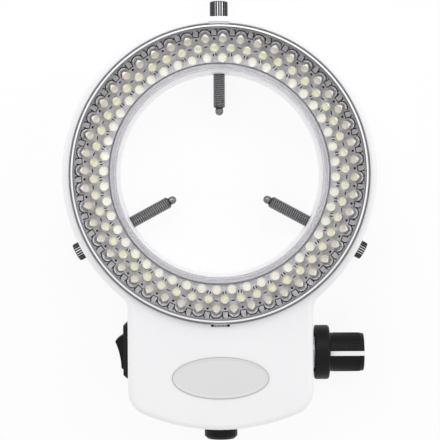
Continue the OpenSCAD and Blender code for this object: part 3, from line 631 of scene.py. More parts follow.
def bumped(tree, surface, height, strength):
    """Gives a shader small relief."""
    feed(tree, surface, normal=add_node(
        tree, "ShaderNodeBump", {"Height": height, "Strength": strength, "Distance": 0.02 * MM},
        "Normal"))


def shade(colour, factor):
    """A colour made darker or lighter."""
    return tuple(min(1.0, c * factor) for c in colour)


def moulded(name, colour, roughness, relief=0.06, scale=2600, specular=0.5):
    """Moulded plastic with a fine spark-eroded grain and a little cloud in its gloss."""
    material, tree, surface = shader(
        name, base_color=tuple(colour), roughness=roughness, specular=specular)
    clouds = grain(tree, 60)
    feed(tree, surface,
         base_color=tinted(tree, clouds, shade(colour, 0.975), shade(colour, 1.015)),
         roughness=spread(tree, clouds, roughness - 0.05, roughness + 0.05))
    bumped(tree, surface, grain(tree, scale), relief)
    return material


def radial(name, stops, roughness, mottle=0.0):
    """Plastic whose colour changes with the distance in mm from the ring's axis, a little mottled."""
    material, tree, surface = shader(name, roughness=roughness, specular=0.3)
    coords = add_node(tree, "ShaderNodeTexCoord", {}, "Object")
    flat = add_node(
        tree, "ShaderNodeVectorMath", {0: coords, 1: (1, 1, 0)}, "Vector", operation="MULTIPLY")
    reach = add_node(tree, "ShaderNodeVectorMath", {0: flat}, "Value", operation="LENGTH")
    near, far = stops[0][0], stops[-1][0]
    place = add_node(tree, "ShaderNodeMapRange", {
        "Value": reach, "From Min": near * MM, "From Max": far * MM}, "Result")
    ramp = tree.nodes.new("ShaderNodeValToRGB")
    tree.links.new(place, ramp.inputs["Fac"])
    marks = ramp.color_ramp.elements
    for i, (radius, colour) in enumerate(stops):
        at = (radius - near) / (far - near)
        mark = marks[i] if i < 2 else marks.new(at)
        mark.position = at
        mark.color = (*colour, 1)
    specks = spread(tree, grain(tree, 700), 1 - mottle, 1 + mottle)
    feed(tree, surface, base_color=add_node(
        tree, "ShaderNodeMix", {"Factor": 1.0, "A": ramp.outputs["Color"], "B": specks}, "Result",
        data_type="RGBA", blend_type="MULTIPLY"))
    bumped(tree, surface, grain(tree, 2600), 0.06)
    return material


def streaked(tree, roughness, streaks):
    """Gloss of a metal that varies by fine streaks."""
    return spread(tree, streaks, roughness * 0.7, roughness * 1.3)


def metal(name, colour, roughness):
    """Plated or plain metal with fine streaks in its gloss."""
    material, tree, surface = shader(name, base_color=tuple(colour), metallic=1.0, roughness=roughness)
    streaks = grain(tree, 900, 4)
    feed(tree, surface,
         base_color=tinted(tree, streaks, shade(colour, 0.85), shade(colour, 1.1)),
         roughness=streaked(tree, roughness, streaks))
    return material


def painted_shaded_metal(name, ridge, root, roughness):
    """Metal with painted shade and light: its colour goes from the light one to the dark one by the mesh's painted
    shade value.
    """
    material, tree, surface = shader(name, base_color=ridge, metallic=1.0, roughness=roughness)
    depth = add_node(tree, "ShaderNodeAttribute", {}, "Fac", attribute_name="groove")
    feed(tree, surface,
         base_color=tinted(tree, depth, ridge, root),
         roughness=streaked(tree, roughness, grain(tree, 900, 4)))
    return material


def clear(name, tint, roughness, ior):
    """Clear moulded plastic."""
    material, tree, surface = shader(
        name, base_color=tuple(tint), roughness=roughness, ior=ior, transmission_weight=1.0)
    bumped(tree, surface, grain(tree, 90, 1), 0.02)
    return material


# Plain finishes: name, colour and roughness
PLASTICS = {
    # Painted shade: the grey of the cover's wall, skirt and foot, for the clear wall that looks dark.
    "skirt": ("cover_wall_shaded_lilac", (0.42, 0.405, 0.43), 0.5),
    "tab": ("cover_tab_pale", (0.68, 0.66, 0.68), 0.4),
    # Painted highlight: white strips for the bright line on the cover's rim and the arcs on the lamps' domes.
    "glint": ("clear_plastic_glint", (0.94, 0.94, 0.95), 0.5),
    "white_ink": ("pointer_white", (0.85, 0.85, 0.84), 0.45),
    "board": ("board_green", (0.02, 0.12, 0.05), 0.4),
    "chip": ("chip_black", (0.03, 0.03, 0.03), 0.5),
    "ivory": ("ivory_plastic", (0.75, 0.71, 0.6), 0.45),
    "brown": ("wafer_brown", (0.25, 0.13, 0.06), 0.55),
    "red": ("wire_red", (0.5, 0.03, 0.025), 0.45),
    "dark": ("wire_black", (0.025, 0.025, 0.025), 0.45),
}
METALS = {
    "lead": ("lamp_lead", (0.42, 0.41, 0.4), 0.35),
    "brass": ("brass", (0.72, 0.54, 0.24), 0.3),
    "aluminium": ("shaft_aluminium", (0.7, 0.7, 0.71), 0.32),
}
FINISHES = {}


def make_finishes(colours):
    """All finishes by their short names."""
    steel, badge, plate = colours.steel, colours.badge, colours.plate
    made = {key: moulded(*row) for key, row in PLASTICS.items()}
    made.update((key, metal(*row)) for key, row in METALS.items())
    made.update(
        housing=moulded("white_moulded_plastic", colours.housing, 0.42),
        cover=clear("clear_cover_plastic", (0.985, 0.98, 0.99), 0.02, 1.25),
        shadow=moulded("cover_corner_shadow", (0.13, 0.13, 0.136), 0.6, specular=0.1),
        # Painted shade: the seat darkens outwards, towards the dark inner corner under the cover.
        seat=radial("cover_seat_shaded_lilac", [
            (32.9, (0.62, 0.607, 0.634)), (33.5, (0.55, 0.54, 0.563)),
            (34.2, (0.46, 0.452, 0.47))], 0.5),
        epoxy=clear("lamp_epoxy", (0.98, 0.975, 0.97), 0.02, 1.35),
        # Painted shade: the lamps' phosphor darkens from the inner row to the outer one.
        phosphor=radial("lamp_phosphor", [
            (36.3, (0.96, 0.95, 0.85)), (37.6, (0.93, 0.915, 0.75)), (39.4, (0.78, 0.765, 0.54)),
            (41, (0.73, 0.695, 0.52)), (42.6, (0.66, 0.62, 0.51))], 0.5),
        # Painted shade: the plate darkens from the bore outwards, towards the cover's outer wall. Its strong
        # mottle is painted light, for the streaks that the clear cover throws on the plate.
        plate=radial("lamp_plate_grey", [
            (35, (0.82, 0.82, 0.835)), (37.5, (0.76, 0.76, 0.775)), (40, (0.62, 0.615, 0.625)),
            (42.5, plate), (46, shade(plate, 0.95))], 0.5, mottle=0.45),
        # Painted shade: black for pits, slots, gaps and the dark arcs at the lamps' flanges.
        pit=moulded("painted_shade_black", (0.006, 0.006, 0.007), 0.7, specular=0.02),
        steel=metal("plated_screw_steel", steel, 0.24),
        # Painted shade and highlight on the screws: the thread darker in its grooves; on the knurled head the
        # ridges dark and the core between them 1.8 times the steel.
        thread=painted_shaded_metal("thread_steel", shade(steel, 0.85), shade(steel, 0.08), 0.28),
        knurl=painted_shaded_metal("knurled_steel", shade(steel, 1.8), shade(steel, 0.16), 0.3),
        black=moulded("black_control_plastic", colours.black, 0.4, 0.12, 4200, specular=0.15),
        badge=moulded("badge_satin_grey", badge, 0.36, 0.03, 5000),
        badge_edge=moulded("badge_edge_grey", shade(badge, 0.66), 0.4, 0.03, 5000))
    return made


def finish(name):
    """The finish of that name, made once."""
    if not FINISHES:
        FINISHES.update(make_finishes(bpy.context.scene.ring_light_colours))
    return FINISHES[name]


# Pieces

def box_end(inset, corner_steps, arc_steps):
    """Rounded end of the box from its left wall to its right one, drawn in by a distance."""
    left, right = 270 - ARC_HALF, 270 + ARC_HALF
    points = arc((-CORNER_X, CORNER_Y), CORNER_R - inset, 180, left, corner_steps)
    points += arc((0, ARC_Y), BOX_ARC_R - inset, left, right, arc_steps)[1:-1]
    return points + arc((CORNER_X, CORNER_Y), CORNER_R - inset, right, 360, corner_steps)


def outline(inset):
    """Outline of ring and box, drawn in by a distance, anticlockwise."""
    sides = [NECK_Y + (CORNER_Y - NECK_Y) * i / 4 for i in (1, 2, 3)]
    points = arc((0, 0), RING_R - inset, NECK_ANGLE, 180 - NECK_ANGLE, 200)
    points += arc((-NECK_X, NECK_Y), NECK_R + inset, -NECK_ANGLE, 0, 10)[1:]
    points += [(inset - BOX_X, y) for y in sides]
    points += box_end(inset, 14, 40)
    points += [(BOX_X - inset, y) for y in reversed(sides)]
    return points + arc((NECK_X, NECK_Y), NECK_R + inset, 180, 180 + NECK_ANGLE, 10)[:-1]


def box_cavity():
    """Outline of the hollow in the box, anticlockwise."""
    reach = math.degrees(math.asin((BOX_X - WALL) / RING_R))
    return arc((0, 0), RING_R, 270 + reach, 270 - reach, 24) + box_end(WALL, 8, 24)


def edge_loops(base_z, edge_z, radius, up):
    """Loops of the outer wall from its foot over its rounded edge, up or down."""
    foot = 0.15 * MM
    loops = [at_height(outline(foot), base_z), at_height(outline(0), base_z + up * foot)]
    for i in range(9):
        a = i * math.pi / 16
        z = edge_z - up * radius * (1 - math.sin(a))
        loops.append(at_height(outline(radius * (1 - math.cos(a))), z))
    return loops


def cover_screw_places():
    """Places of the six screws in the rear cover."""
    ring = RING_R - WALL - 2.8 * MM
    places = [(ring * math.cos(a * DEG), ring * math.sin(a * DEG)) for a in (45, 135, 225, 315)]
    return places + [(CORNER_X, CORNER_Y), (-CORNER_X, CORNER_Y)]


def front_housing_mesh(edge_round):
    """White shell of ring and box, open behind, with its cut-outs."""
    bm = bmesh.new()
    outer = loft(bm, edge_loops(SEAM_Z, FRONT_Z, edge_round, 1))
    lip = 0.2 * MM
    profile = arc((CAVITY_R + lip, FRONT_Z - lip), lip, 90, 180, 3) + [(CAVITY_R, SEAM_Z)]
    mouth = loft(bm, [at_height(circle(radius), z) for radius, z in profile])
    hollow = loft(bm, [at_height(box_cavity(), z) for z in (BOX_CEILING, SEAM_Z)])
    fill(bm, [outer[-1], mouth[0]], 1)
    fill(bm, [hollow[0]], -1)
    fill(bm, [outer[0], mouth[-1], hollow[-1]], -1)
    shell = to_mesh(bm, "shell")

    pad = bmesh.new()
    rod(pad, INLET_PAD_R, HOUSING_LO.y, BOX_END_Y + WALL + 0.3 * MM, INLET_PLACE, 64)
    shell = carve(shell, to_mesh(pad, "pad"), "UNION")

    cuts = bmesh.new()
    for angle in SCREW_ANGLES.values():
        rod(cuts, HEAD_HOLE_R, -5 * MM, 3 * MM, screw_place(angle, RING_R), 64)
    rod(cuts, INLET_HOLE_R, HOUSING_LO.y - 1 * MM, BOX_END_Y + 4 * MM, INLET_PLACE)
    bushing = Matrix.Translation((0, (KNOB_LO.y + KNOB_HI.y) / 2, CONTROL_Z))
    bushing @= Matrix.Rotation(90 * DEG, 4, "Y")
    rod(cuts, BUSHING_HOLE_R, BOX_X - 3 * MM, BOX_X + 1 * MM, bushing)
    play = 0.15 * MM
    switch = Vector((-BOX_X, (FRAME_LO.y + FRAME_HI.y) / 2, CONTROL_Z))
    half = Vector((3 * MM, SWITCH_BODY_L / 2 + play, SWITCH_BODY_W / 2 + play))
    block(cuts, switch - half, switch + half)
    block(cuts, (-LEAD_GAP, -RING_R - 0.5 * MM, SEAM_Z - 1 * MM), (LEAD_GAP, 3 * MM - RING_R, LEAD_GAP))
    play = 0.06 * MM
    notch = TAB_W / 2 + play
    for side, reach in TAB_REACH.items():
        near, far = sorted((side * (CAVITY_R - 1 * MM), side * (reach + play)))
        block(cuts, (-notch, near, TUBE_Z), (notch, far, FRONT_Z + 1 * MM))
    return carve(shell, to_mesh(cuts, "cuts"), "DIFFERENCE")


def rear_cover_mesh(back_round):
    """Flat back with the bore's tube, the screws' bosses and recesses."""
    bm = bmesh.new()
    outer = loft(bm, list(reversed(edge_loops(SEAM_Z, 0, back_round, -1))))
    lip = 0.3 * MM
    tube = [
        (TUBE_R, SEAM_Z), (TUBE_R, TUBE_Z - lip), (TUBE_R - lip, TUBE_Z), (BORE_R + lip, TUBE_Z),
        (BORE_R, TUBE_Z - lip), (BORE_R, lip), (BORE_R + lip, 0), (BORE_R + 1 * MM, 0),
    ]
    tube = loft(bm, [at_height(circle(r), z) for r, z in tube])
    fill(bm, [outer[0], tube[-1]], -1)
    fill(bm, [outer[-1], tube[0]], 1)
    shell = to_mesh(bm, "shell")

    bosses = bmesh.new()
    for angle in SCREW_ANGLES.values():
        rod(bosses, BOSS_R, 1 * MM, 7.9 * MM, screw_place(angle, BORE_R))
    for x in (DRIVER_LO.x + POST_R, DRIVER_HI.x - POST_R):
        for y in (DRIVER_LO.y + POST_R, DRIVER_HI.y - POST_R):
            rod(bosses, POST_R, SEAM_Z / 2, DRIVER_LO.z, upright(x, y), 32)
    shell = carve(shell, to_mesh(bosses, "bosses"), "UNION")

    cuts = bmesh.new()
    for angle in SCREW_ANGLES.values():
        rod(cuts, STUD_HOLE_R, -2 * MM, 2 * MM, screw_place(angle, BORE_R))
        rod(cuts, INSERT_HOLE_R, 1.1 * MM, 9 * MM, screw_place(angle, BORE_R))
    holes = bmesh.new()
    for x, y in cover_screw_places():
        rod(cuts, SCREW_SEAT_R, -1 * MM, SCREW_SEAT_Z, upright(x, y))
        rod(holes, SCREW_HOLE_R, -1 * MM, SEAM_Z + 1 * MM, upright(x, y), 32)
    shell = carve(shell, to_mesh(cuts, "cuts"), "DIFFERENCE")
    return carve(shell, to_mesh(holes, "holes"), "DIFFERENCE")


def lens_cover_mesh():
    """Clear ring-shaped channel with rounded rims, down to the housing's face."""
    rim_z = COVER_Z - COVER_WALL
    ceiling = COVER_Z - COVER_T
    corner = 0.45 * MM
    profile = [(COVER_R, SKIRT_Z)]
    profile += arc((CHANNEL_OUT, rim_z), COVER_WALL, 0, 90, 8)
    profile += arc((CHANNEL_IN, rim_z), COVER_WALL, 90, 180, 8)
    foot = TUBE_Z + 0.06 * MM
    profile += [(COVER_IN, foot), (CHANNEL_IN, foot)]
    profile += arc((CHANNEL_IN + corner, ceiling - corner), corner, 180, 90, 4)
    profile += arc((CHANNEL_OUT - corner, ceiling - corner), corner, 90, 0, 4)
    profile += [(CHANNEL_OUT, SKIRT_Z)]
    return revolved("cover", profile, RING_SIDES, closed=True)


def cover_skirt_mesh():
    """Outer wall of the cover inside the housing, with its snap bead and an opaque foot above the housing's face.
    Its grey is painted shade for the clear wall, which looks dark from outside, and the foot throws a shadow on
    the housing.
    """
    bead = COVER_R + 0.45 * MM
    foot_in, foot_out = COVER_R - 0.3 * MM, COVER_R + 0.03 * MM
    return revolved("skirt", [
        (CHANNEL_OUT, COVER_LO.z), (COVER_R, COVER_LO.z), (COVER_R, SKIRT_Z - 1.7 * MM),
        (bead, SKIRT_Z - 1.4 * MM), (bead, SKIRT_Z - 0.15 * MM), (bead - 0.15 * MM, SKIRT_Z),
        (foot_out, SKIRT_Z), (foot_out, FOOT_Z), (foot_in, FOOT_Z), (foot_in, SKIRT_Z),
        (CHANNEL_OUT, SKIRT_Z)], RING_SIDES, closed=True)


def cover_tabs_mesh():
    """The two snap tabs of the cover."""
    tabs = bmesh.new()
    for side, reach in TAB_REACH.items():
        near, far = sorted((side * COVER_R, side * reach))
        block(tabs, (-TAB_W / 2, near, TUBE_Z + 0.15 * MM), (TAB_W / 2, far, TAB_Z))
    return bevelled(to_mesh(tabs, "tabs"), 0.08 * MM, 2)


def tab_slot_shades_mesh():
    """Painted shade: dark marks for slots in the tab that faces the box, one at each end and five between them."""
    edge = -TAB_REACH[-1]
    end = TAB_W / 2 - 0.5 * MM
    slots = [(x, 0.42 * MM, 0.08 * MM, 0.75 * MM) for x in (-end, end)]
    slots += [(i * 0.8 * MM, 0.3 * MM, 0.15 * MM, 0.45 * MM) for i in range(-2, 3)]
    bm = bmesh.new()
    for x, half, near, far in slots:
        block(bm, (x - half, edge + near, TAB_Z - 0.1 * MM), (x + half, edge + far, TAB_Z + 0.02 * MM))
    return to_mesh(bm, "tab_marks")


def seat_ring_mesh():
    """Seat of the cover's inner wall on the bore's tube."""
    return band("seat", BORE_R + 0.35 * MM, CHANNEL_IN, TUBE_Z - 0.1 * MM, TUBE_Z + 0.04 * MM)


def inner_shade_mesh():
    """Painted shade: a dark band along the inner corner under the cover's face, where the clear plastic looks
    dark.
    """
    high = COVER_Z - COVER_T - 0.48 * MM
    return band("inner_line", CHANNEL_IN + 0.02 * MM, CHANNEL_IN + 0.72 * MM, high - 0.08 * MM, high)


def rim_highlight_mesh():
    """Painted highlight: a bright line along the shoulder of the cover's outer rim."""
    centre = (CHANNEL_OUT, COVER_Z - COVER_WALL)
    profile = arc(centre, COVER_WALL + 0.02 * MM, 49, 79, 4)
    profile += arc(centre, COVER_WALL - 0.06 * MM, 79, 49, 4)
    return revolved("rim_line", profile, RING_SIDES, closed=True)


def lamp_plate_z(radius):
    """Height of the conical plate at a radius."""
    outer_base = COVER_Z - COVER_T - 0.6 * MM - LAMP_LEN * math.cos(LAMP_TILT)
    return outer_base + (radius - ROWS["outer"]) * math.tan(LAMP_TILT)


def lamp_plate_mesh():
    """Conical plate with its two skirts."""
    inner = PLATE_HI.x - (CHANNEL_OUT - CHANNEL_IN) + 0.65 * MM
    outer = CHANNEL_OUT - 0.02 * MM
    wall = 0.8 * MM
    drop = 1.26 * MM
    return revolved("plate", [
        (inner, PLATE_LO.z), (inner + wall, PLATE_LO.z),
        (inner + wall, lamp_plate_z(inner + wall) - drop),
        (outer - wall, lamp_plate_z(outer - wall) - drop),
        (outer - wall, PLATE_LO.z), (outer, PLATE_LO.z),
        (outer, lamp_plate_z(outer)), (inner, lamp_plate_z(inner)),
    ], 192, closed=True)


def lamp_body_mesh():
    """Epoxy body of one lamp: flange, barrel and dome."""
    profile = [(0, 0), (LAMP_FLANGE_R, 0), (LAMP_FLANGE_R, 0.9 * MM), (LAMP_R, 1 * MM)]
    profile += arc((0, DOME_Z), LAMP_R, 0, 90, 4)[:-1]
    return revolved("lamp_body", profile + [(0, LAMP_LEN)], 12)


def lamp_cup_mesh(radius, shift):
    """Phosphor-filled cup of a lamp, a little wider towards the ring's axis."""
    loops = []
    for share, z in ((0.7, 2.3), (1, 2.9), (0.84, 3.02), (0.6, 2.94)):
        reach = radius * share
        loops.append([(shift + 0.95 * reach * x, reach * y * (1 - 0.15 * x), z * MM)
                      for x, y in circle(1, 12)])
    bm = bmesh.new()
    capped(bm, loops)
    return to_mesh(bm, "lamp_cup")


def lamp_glint_mesh(places):
    """Painted highlights: pale arcs on the dome of a lamp, and on its flange beyond that, as thin strips."""
    inside = LAMP_R + 0.03 * MM
    flange_z = 0.98 * MM
    half, thick = 0.11 * MM, 0.08 * MM
    corners = ((-half, 0), (half, 0), (half, thick), (-half, thick))

    def on_flange(place, i):
        turn = 18 * i * DEG
        return [((place + side) * math.cos(turn), (place + side) * math.sin(turn), flange_z - drop)
                for side, drop in corners]

    def on_dome(place, i):
        x = place - 0.045 * MM * i ** 2
        y = 0.85 * math.sqrt(inside ** 2 - place ** 2) * i / 3
        return [(x + side, y, DOME_Z + math.sqrt(inside ** 2 - (x + side) ** 2 - y ** 2) - drop)
                for side, drop in corners]

    bm = bmesh.new()
    for place in places:
        section = on_flange if place > LAMP_R else on_dome
        capped(bm, [section(place, i) for i in range(-3, 4)])
    bmesh.ops.recalc_face_normals(bm, faces=bm.faces)
    return to_mesh(bm, "lamp_glint")


def ribbon(bm, points, half, low, high):
    """Flat strip of a width along a row of points."""
    loops = []
    for i, (x, y) in enumerate(points):
        before, after = points[max(i - 1, 0)], points[min(i + 1, len(points) - 1)]
        along = Vector((after[0] - before[0], after[1] - before[1])).normalized() * half
        left, right = (x - along.y, y + along.x), (x + along.y, y - along.x)
        loops.append([(*left, low), (*right, low), (*right, high), (*left, high)])
    capped(bm, loops)
    bmesh.ops.recalc_face_normals(bm, faces=bm.faces)


def lamp_shade_mark_mesh():
    """Painted shade: a dark arc round the outer half of a lamp's flange and a dark spot inside it."""
    bm = bmesh.new()
    low, high = 0.02 * MM, 0.1 * MM
    ribbon(bm, arc((0, 0), LAMP_FLANGE_R + 0.12 * MM, -75, 75, 10), 0.14 * MM, low, high)
    rod(bm, 0.28 * MM, 0.88 * MM, 0.96 * MM, upright(1.66 * MM, 0), 8)
    return to_mesh(bm, "lamp_shade_mark")


def plate_gap_shade_mesh():
    """Painted shade: a dark strip for the shaded gap round three sides of the square pad between two outer lamps.
    """
    bm = bmesh.new()
    side, low, high = 0.95 * MM, -0.02 * MM, 0.06 * MM
    ribbon(bm, [(side, -side), (-side, -side), (-side, side), (side, side)], 0.2 * MM, low, high)
    ribbon(bm, [(side, -side), (1.25 * side, -0.4 * side)], 0.16 * MM, low, high)
    return to_mesh(bm, "plate_gap_shade")


def lamp_lead_mesh():
    """The two leads of a lamp, one with the cup's anvil."""
    bm = bmesh.new()
    for side in (-1, 1):
        rod(bm, 0.27 * MM, -2.6 * MM, 2.25 * MM, upright(0, side * 0.9 * MM), 6)
    block(bm, (-0.3 * MM, -1.05 * MM, 1.5 * MM), (0.3 * MM, 0.5 * MM, 2.25 * MM))
    return to_mesh(bm, "lamp_lead")


def pit_mesh(row):
    """Painted shade: dark marks between two lamps of a row, for a round hole, a slot or two short slots."""
    low, high = -0.05 * MM, 0.04 * MM
    bm = bmesh.new()
    if row == "outer":
        rod(bm, 0.42 * MM, low, high, segments=10)
    elif row == "middle":
        block(bm, (-0.19 * MM, -0.6 * MM, low), (0.19 * MM, 0.6 * MM, high))
    else:
        for y in (-0.42 * MM, 0.42 * MM):
            block(bm, (-0.5 * MM, y - 0.18 * MM, low), (0.5 * MM, y + 0.18 * MM, high))
    return to_mesh(bm, "pit")


def stud_mesh(pitch):
    """Threaded stud from its turned-down tip, along Z."""
    start = TIP_LEN + 0.05 * MM
    length = SCREW_LEN + STUD_IN_HEAD - start
    thread = grown(thread_tree, bpy.data.meshes.new("seed"), {
        "Radius": SCREW_R, "Length": length, "Pitch": pitch, "Depth": THREAD_DEPTH,
        "Sides": THREAD_SIDES, "Rows": round(length / pitch * THREAD_STEPS),
        "Material": finish("thread")})
    thread.transform(Matrix.Translation((0, 0, start + length / 2)))
    waist, neck = TIP_R - 0.15 * MM, SCREW_R - 0.15 * MM
    profile = [(0, 0)] + arc((0, TIP_R), TIP_R, -80, 0, 7)
    profile += [(radius, TIP_LEN + z * MM) for radius, z in (
        (TIP_R, -0.9), (waist, -0.75), (waist, -0.6), (neck - 0.3 * MM, -0.4), (neck, 0), (neck, 0.4),
        (0, 0.4))]
    nose = revolved("nose", profile, THREAD_SIDES)
    # Painted shade on the nose: the rounded tip a little dark, the neck above it darker.
    mark_painted_shades(nose, lambda z: 0.35 if z < TIP_LEN - 0.8 * MM else 0.8)
    return joined("stud", [thread, nose])


def head_mesh(knurls):
    """Knurled head of a thumb screw, along Z from its underside."""
    chamfer, depth, run_out = 0.45 * MM, 0.3 * MM, 0.3 * MM
    core_r = HEAD_R - depth
    dimple_z = HEAD_LEN - 0.15 * MM
    core = revolved("core", [
        (0, 0), (core_r - chamfer, 0), (core_r, chamfer), (core_r, HEAD_LEN - chamfer),
        (core_r - chamfer, HEAD_LEN), (1.2 * MM, HEAD_LEN), (1.0 * MM, dimple_z), (0, dimple_z)], 52)
    low, high = 0.5 * MM, HEAD_LEN - 0.5 * MM
    ridge = ridge_mesh(
        "ridge", ((low - run_out, 0), (low, depth), (high, depth), (high + run_out, 0)),
        math.pi * HEAD_R / knurls * 0.7, 0.5, 0.15 * MM)
    # The ridges take the knurl finish's dark colour and the core between them its bright one: painted shade and
    # painted highlight.
    mark_painted_shades(ridge, lambda z: 1.0)
    ridges = grown(ring_array_tree, ridge, {
        "Count": knurls, "Radius": core_r, "Height": 0.0, "Lean": 0.0, "Turn": 0.0,
        "Material": finish("knurl")})
    return joined("head", [ridges, core])


def rounded_rectangle(length, width, radius, z):
    """Loop of a rectangle with round corners, lying along X."""
    x, y = length / 2 - radius, width / 2 - radius
    points = []
    for i, corner in enumerate(((x, y), (-x, y), (-x, -y), (x, -y))):
        points += arc(corner, radius, 90 * i, 90 * i + 90, 5)
    return at_height(points, z)


def switch_frame_mesh():
    """Bezel and body of the rocker switch, along Z out of the wall."""
    bezel_l, bezel_w = FRAME_HI.y - FRAME_LO.y, FRAME_HI.z - FRAME_LO.z
    proud = -BOX_X - FRAME_LO.x
    depth = FRAME_HI.x + BOX_X
    shift = Vector((0.6 * MM, 0, 0))
    outer = [
        (SWITCH_BODY_L, SWITCH_BODY_W, 0.4 * MM, -depth), (SWITCH_BODY_L, SWITCH_BODY_W, 0.4 * MM, 0),
        (bezel_l, bezel_w, 1.2 * MM, 0), (bezel_l, bezel_w, 1.2 * MM, 0.5 * MM),
        (bezel_l - 1.6 * MM, bezel_w - 1.6 * MM, 0.9 * MM, proud - 0.15 * MM),
        (bezel_l - 2.1 * MM, bezel_w - 2.1 * MM, 0.8 * MM, proud),
    ]
    mouth = [
        (MOUTH_L + 0.5 * MM, MOUTH_W + 0.5 * MM, 0.4 * MM, proud),
        (MOUTH_L, MOUTH_W, 0.3 * MM, proud - 0.25 * MM), (MOUTH_L, MOUTH_W, 0.3 * MM, 1.2 * MM - depth),
    ]
    loops = [[point + shift for point in rounded_rectangle(*row)] for row in outer]
    loops += [rounded_rectangle(*row) for row in mouth]
    bm = bmesh.new()
    capped(bm, loops)
    return to_mesh(bm, "switch_frame")


def rocker_mesh():
    """Rocker with its dished face: X points out of the wall, Z along the pivot."""
    radius, back, rise, dip, face_r = 6 * MM, 2 * MM, 4 * MM, 0.45 * MM, 22 * MM
    width = 7.2 * MM
    reach = math.degrees(math.asin(math.sqrt(radius ** 2 - rise ** 2) / face_r))
    face_x = rise - dip + face_r
    face = arc((face_x, 0), face_r, 180 - reach, 180 + reach, 16)
    lower = math.degrees(math.atan2(face[-1][1], face[-1][0]))
    end = math.degrees(math.acos(-back / radius))
    points = face + arc((0, 0), radius, lower, -end, 10)[1:]
    points += arc((0, 0), radius, end, -lower, 10)[:-1]
    bm = bmesh.new()
    capped(bm, [at_height(points, z) for z in (-width / 2, width / 2)])
    bmesh.ops.recalc_face_normals(bm, faces=bm.faces)
    return bevelled(to_mesh(bm, "rocker"), 0.3 * MM)


def knob_mesh(flutes):
    """Skirted knob along Z from the wall, hollow behind, with fine flutes round its grip."""
    skirt_r = (KNOB_HI.y - KNOB_LO.y) / 2
    grip_r = 6.25 * MM
    grip_z = KNOB_LO.x + 4.8 * MM
    top = KNOB_HI.x
    room_r, room_z = 6.57 * MM, 32.9 * MM
    shaft_r = 3.02 * MM
    profile = [
        (0, grip_z + 8 * MM), (shaft_r, grip_z + 8 * MM), (shaft_r, room_z), (room_r, room_z),
        (room_r, KNOB_LO.x), (skirt_r - 0.6 * MM, KNOB_LO.x),
    ]
    profile += arc((skirt_r - 0.6 * MM, KNOB_LO.x + 0.6 * MM), 0.6 * MM, -60, 0, 3)
    profile += arc((skirt_r - 0.9 * MM, grip_z - 0.9 * MM), 0.9 * MM, 0, 75, 5)
    profile += [(grip_r + 0.5 * MM, grip_z)]
    profile += arc((grip_r + 0.4 * MM, grip_z + 0.4 * MM), 0.4 * MM, -90, -180, 4)
    profile += arc((grip_r - 0.65 * MM, top - 0.5 * MM), 0.5 * MM, 0, 90, 5)
    profile += [(grip_r - 1.6 * MM, top), (grip_r - 1.8 * MM, top - 0.2 * MM), (0, top - 0.2 * MM)]
    body = revolved("knob_body", profile, 96)
    low, high, ramp = grip_z + 0.9 * MM, top - 0.9 * MM, 0.4 * MM
    flute = ridge_mesh("flute", (
        (low, -0.1 * MM), (low + ramp, 0.12 * MM), (high - ramp, 0.08 * MM), (high, -0.2 * MM)),
        math.pi * grip_r / flutes * 0.5, 0.4, 0.3 * MM)
    ridges = grown(ring_array_tree, flute, {
        "Count": flutes, "Radius": grip_r - 0.08 * MM, "Height": 0.0, "Lean": 0.0,
        "Turn": math.pi / flutes, "Material": finish("black")})
    return joined("knob", [body, ridges])


def inlet_mesh():
    """Flange, barrel and socket of the power inlet, along Z into the box."""
    flange_r = (INLET_HI.x - INLET_LO.x) / 2
    tip, back = INLET_LO.y, INLET_HI.y
    seat = HOUSING_LO.y
    socket_r, barrel_r = 2.85 * MM, 4 * MM
    floor = back - 2.5 * MM
    return revolved("inlet", [
        (0, floor), (socket_r, floor), (socket_r, tip + 0.3 * MM), (socket_r + 0.3 * MM, tip),
        (flange_r - 1.1 * MM, tip), (flange_r - 0.9 * MM, tip + 0.06 * MM),
        (flange_r - 0.06 * MM, tip + 0.9 * MM), (flange_r, tip + 1.1 * MM),
        (flange_r, seat - 0.2 * MM), (flange_r - 0.2 * MM, seat), (barrel_r, seat),
        (barrel_r, back), (0, back)], 72)


def badge_loop(inset, z):
    """Oval of the badge, drawn in by a distance, at a height."""
    centre = (BADGE_LO + BADGE_HI) / 2
    half_w, half_h = (BADGE_HI.x - BADGE_LO.x) / 2 - inset, (BADGE_HI.y - BADGE_LO.y) / 2 - inset
    return at_height([(centre.x + half_w * x, centre.y + half_h * y) for x, y in circle(1, 120)], z)


def badge_mesh():
    """Oval plate with a raised rim round a bare field."""
    top = BADGE_HI.z
    bm = bmesh.new()
    steps = [
        (0.28 * MM, BADGE_LO.z), (0.28 * MM, top), (0.65 * MM, top), (0.75 * MM, top - 0.03 * MM),
        (0.85 * MM, top - 0.12 * MM), (1.2 * MM, top - 0.13 * MM),
    ]
    rows = loft(bm, [badge_loop(inset, z) for inset, z in steps])
    fill(bm, [rows[-1]], 1)
    fill(bm, [rows[0]], -1)
    return to_mesh(bm, "badge")


def badge_edge_mesh():
    """Thin edge round the oval plate."""
    top = BADGE_HI.z
    steps = [
        (0.28 * MM, BADGE_LO.z), (0, BADGE_LO.z), (0, top - 0.2 * MM), (0.06 * MM, top - 0.07 * MM),
        (0.16 * MM, top - 0.02 * MM), (0.28 * MM, top - 0.02 * MM),
    ]
    bm = bmesh.new()
    loft(bm, [badge_loop(inset, z) for inset, z in steps], closed=True)
    return to_mesh(bm, "badge_edge")


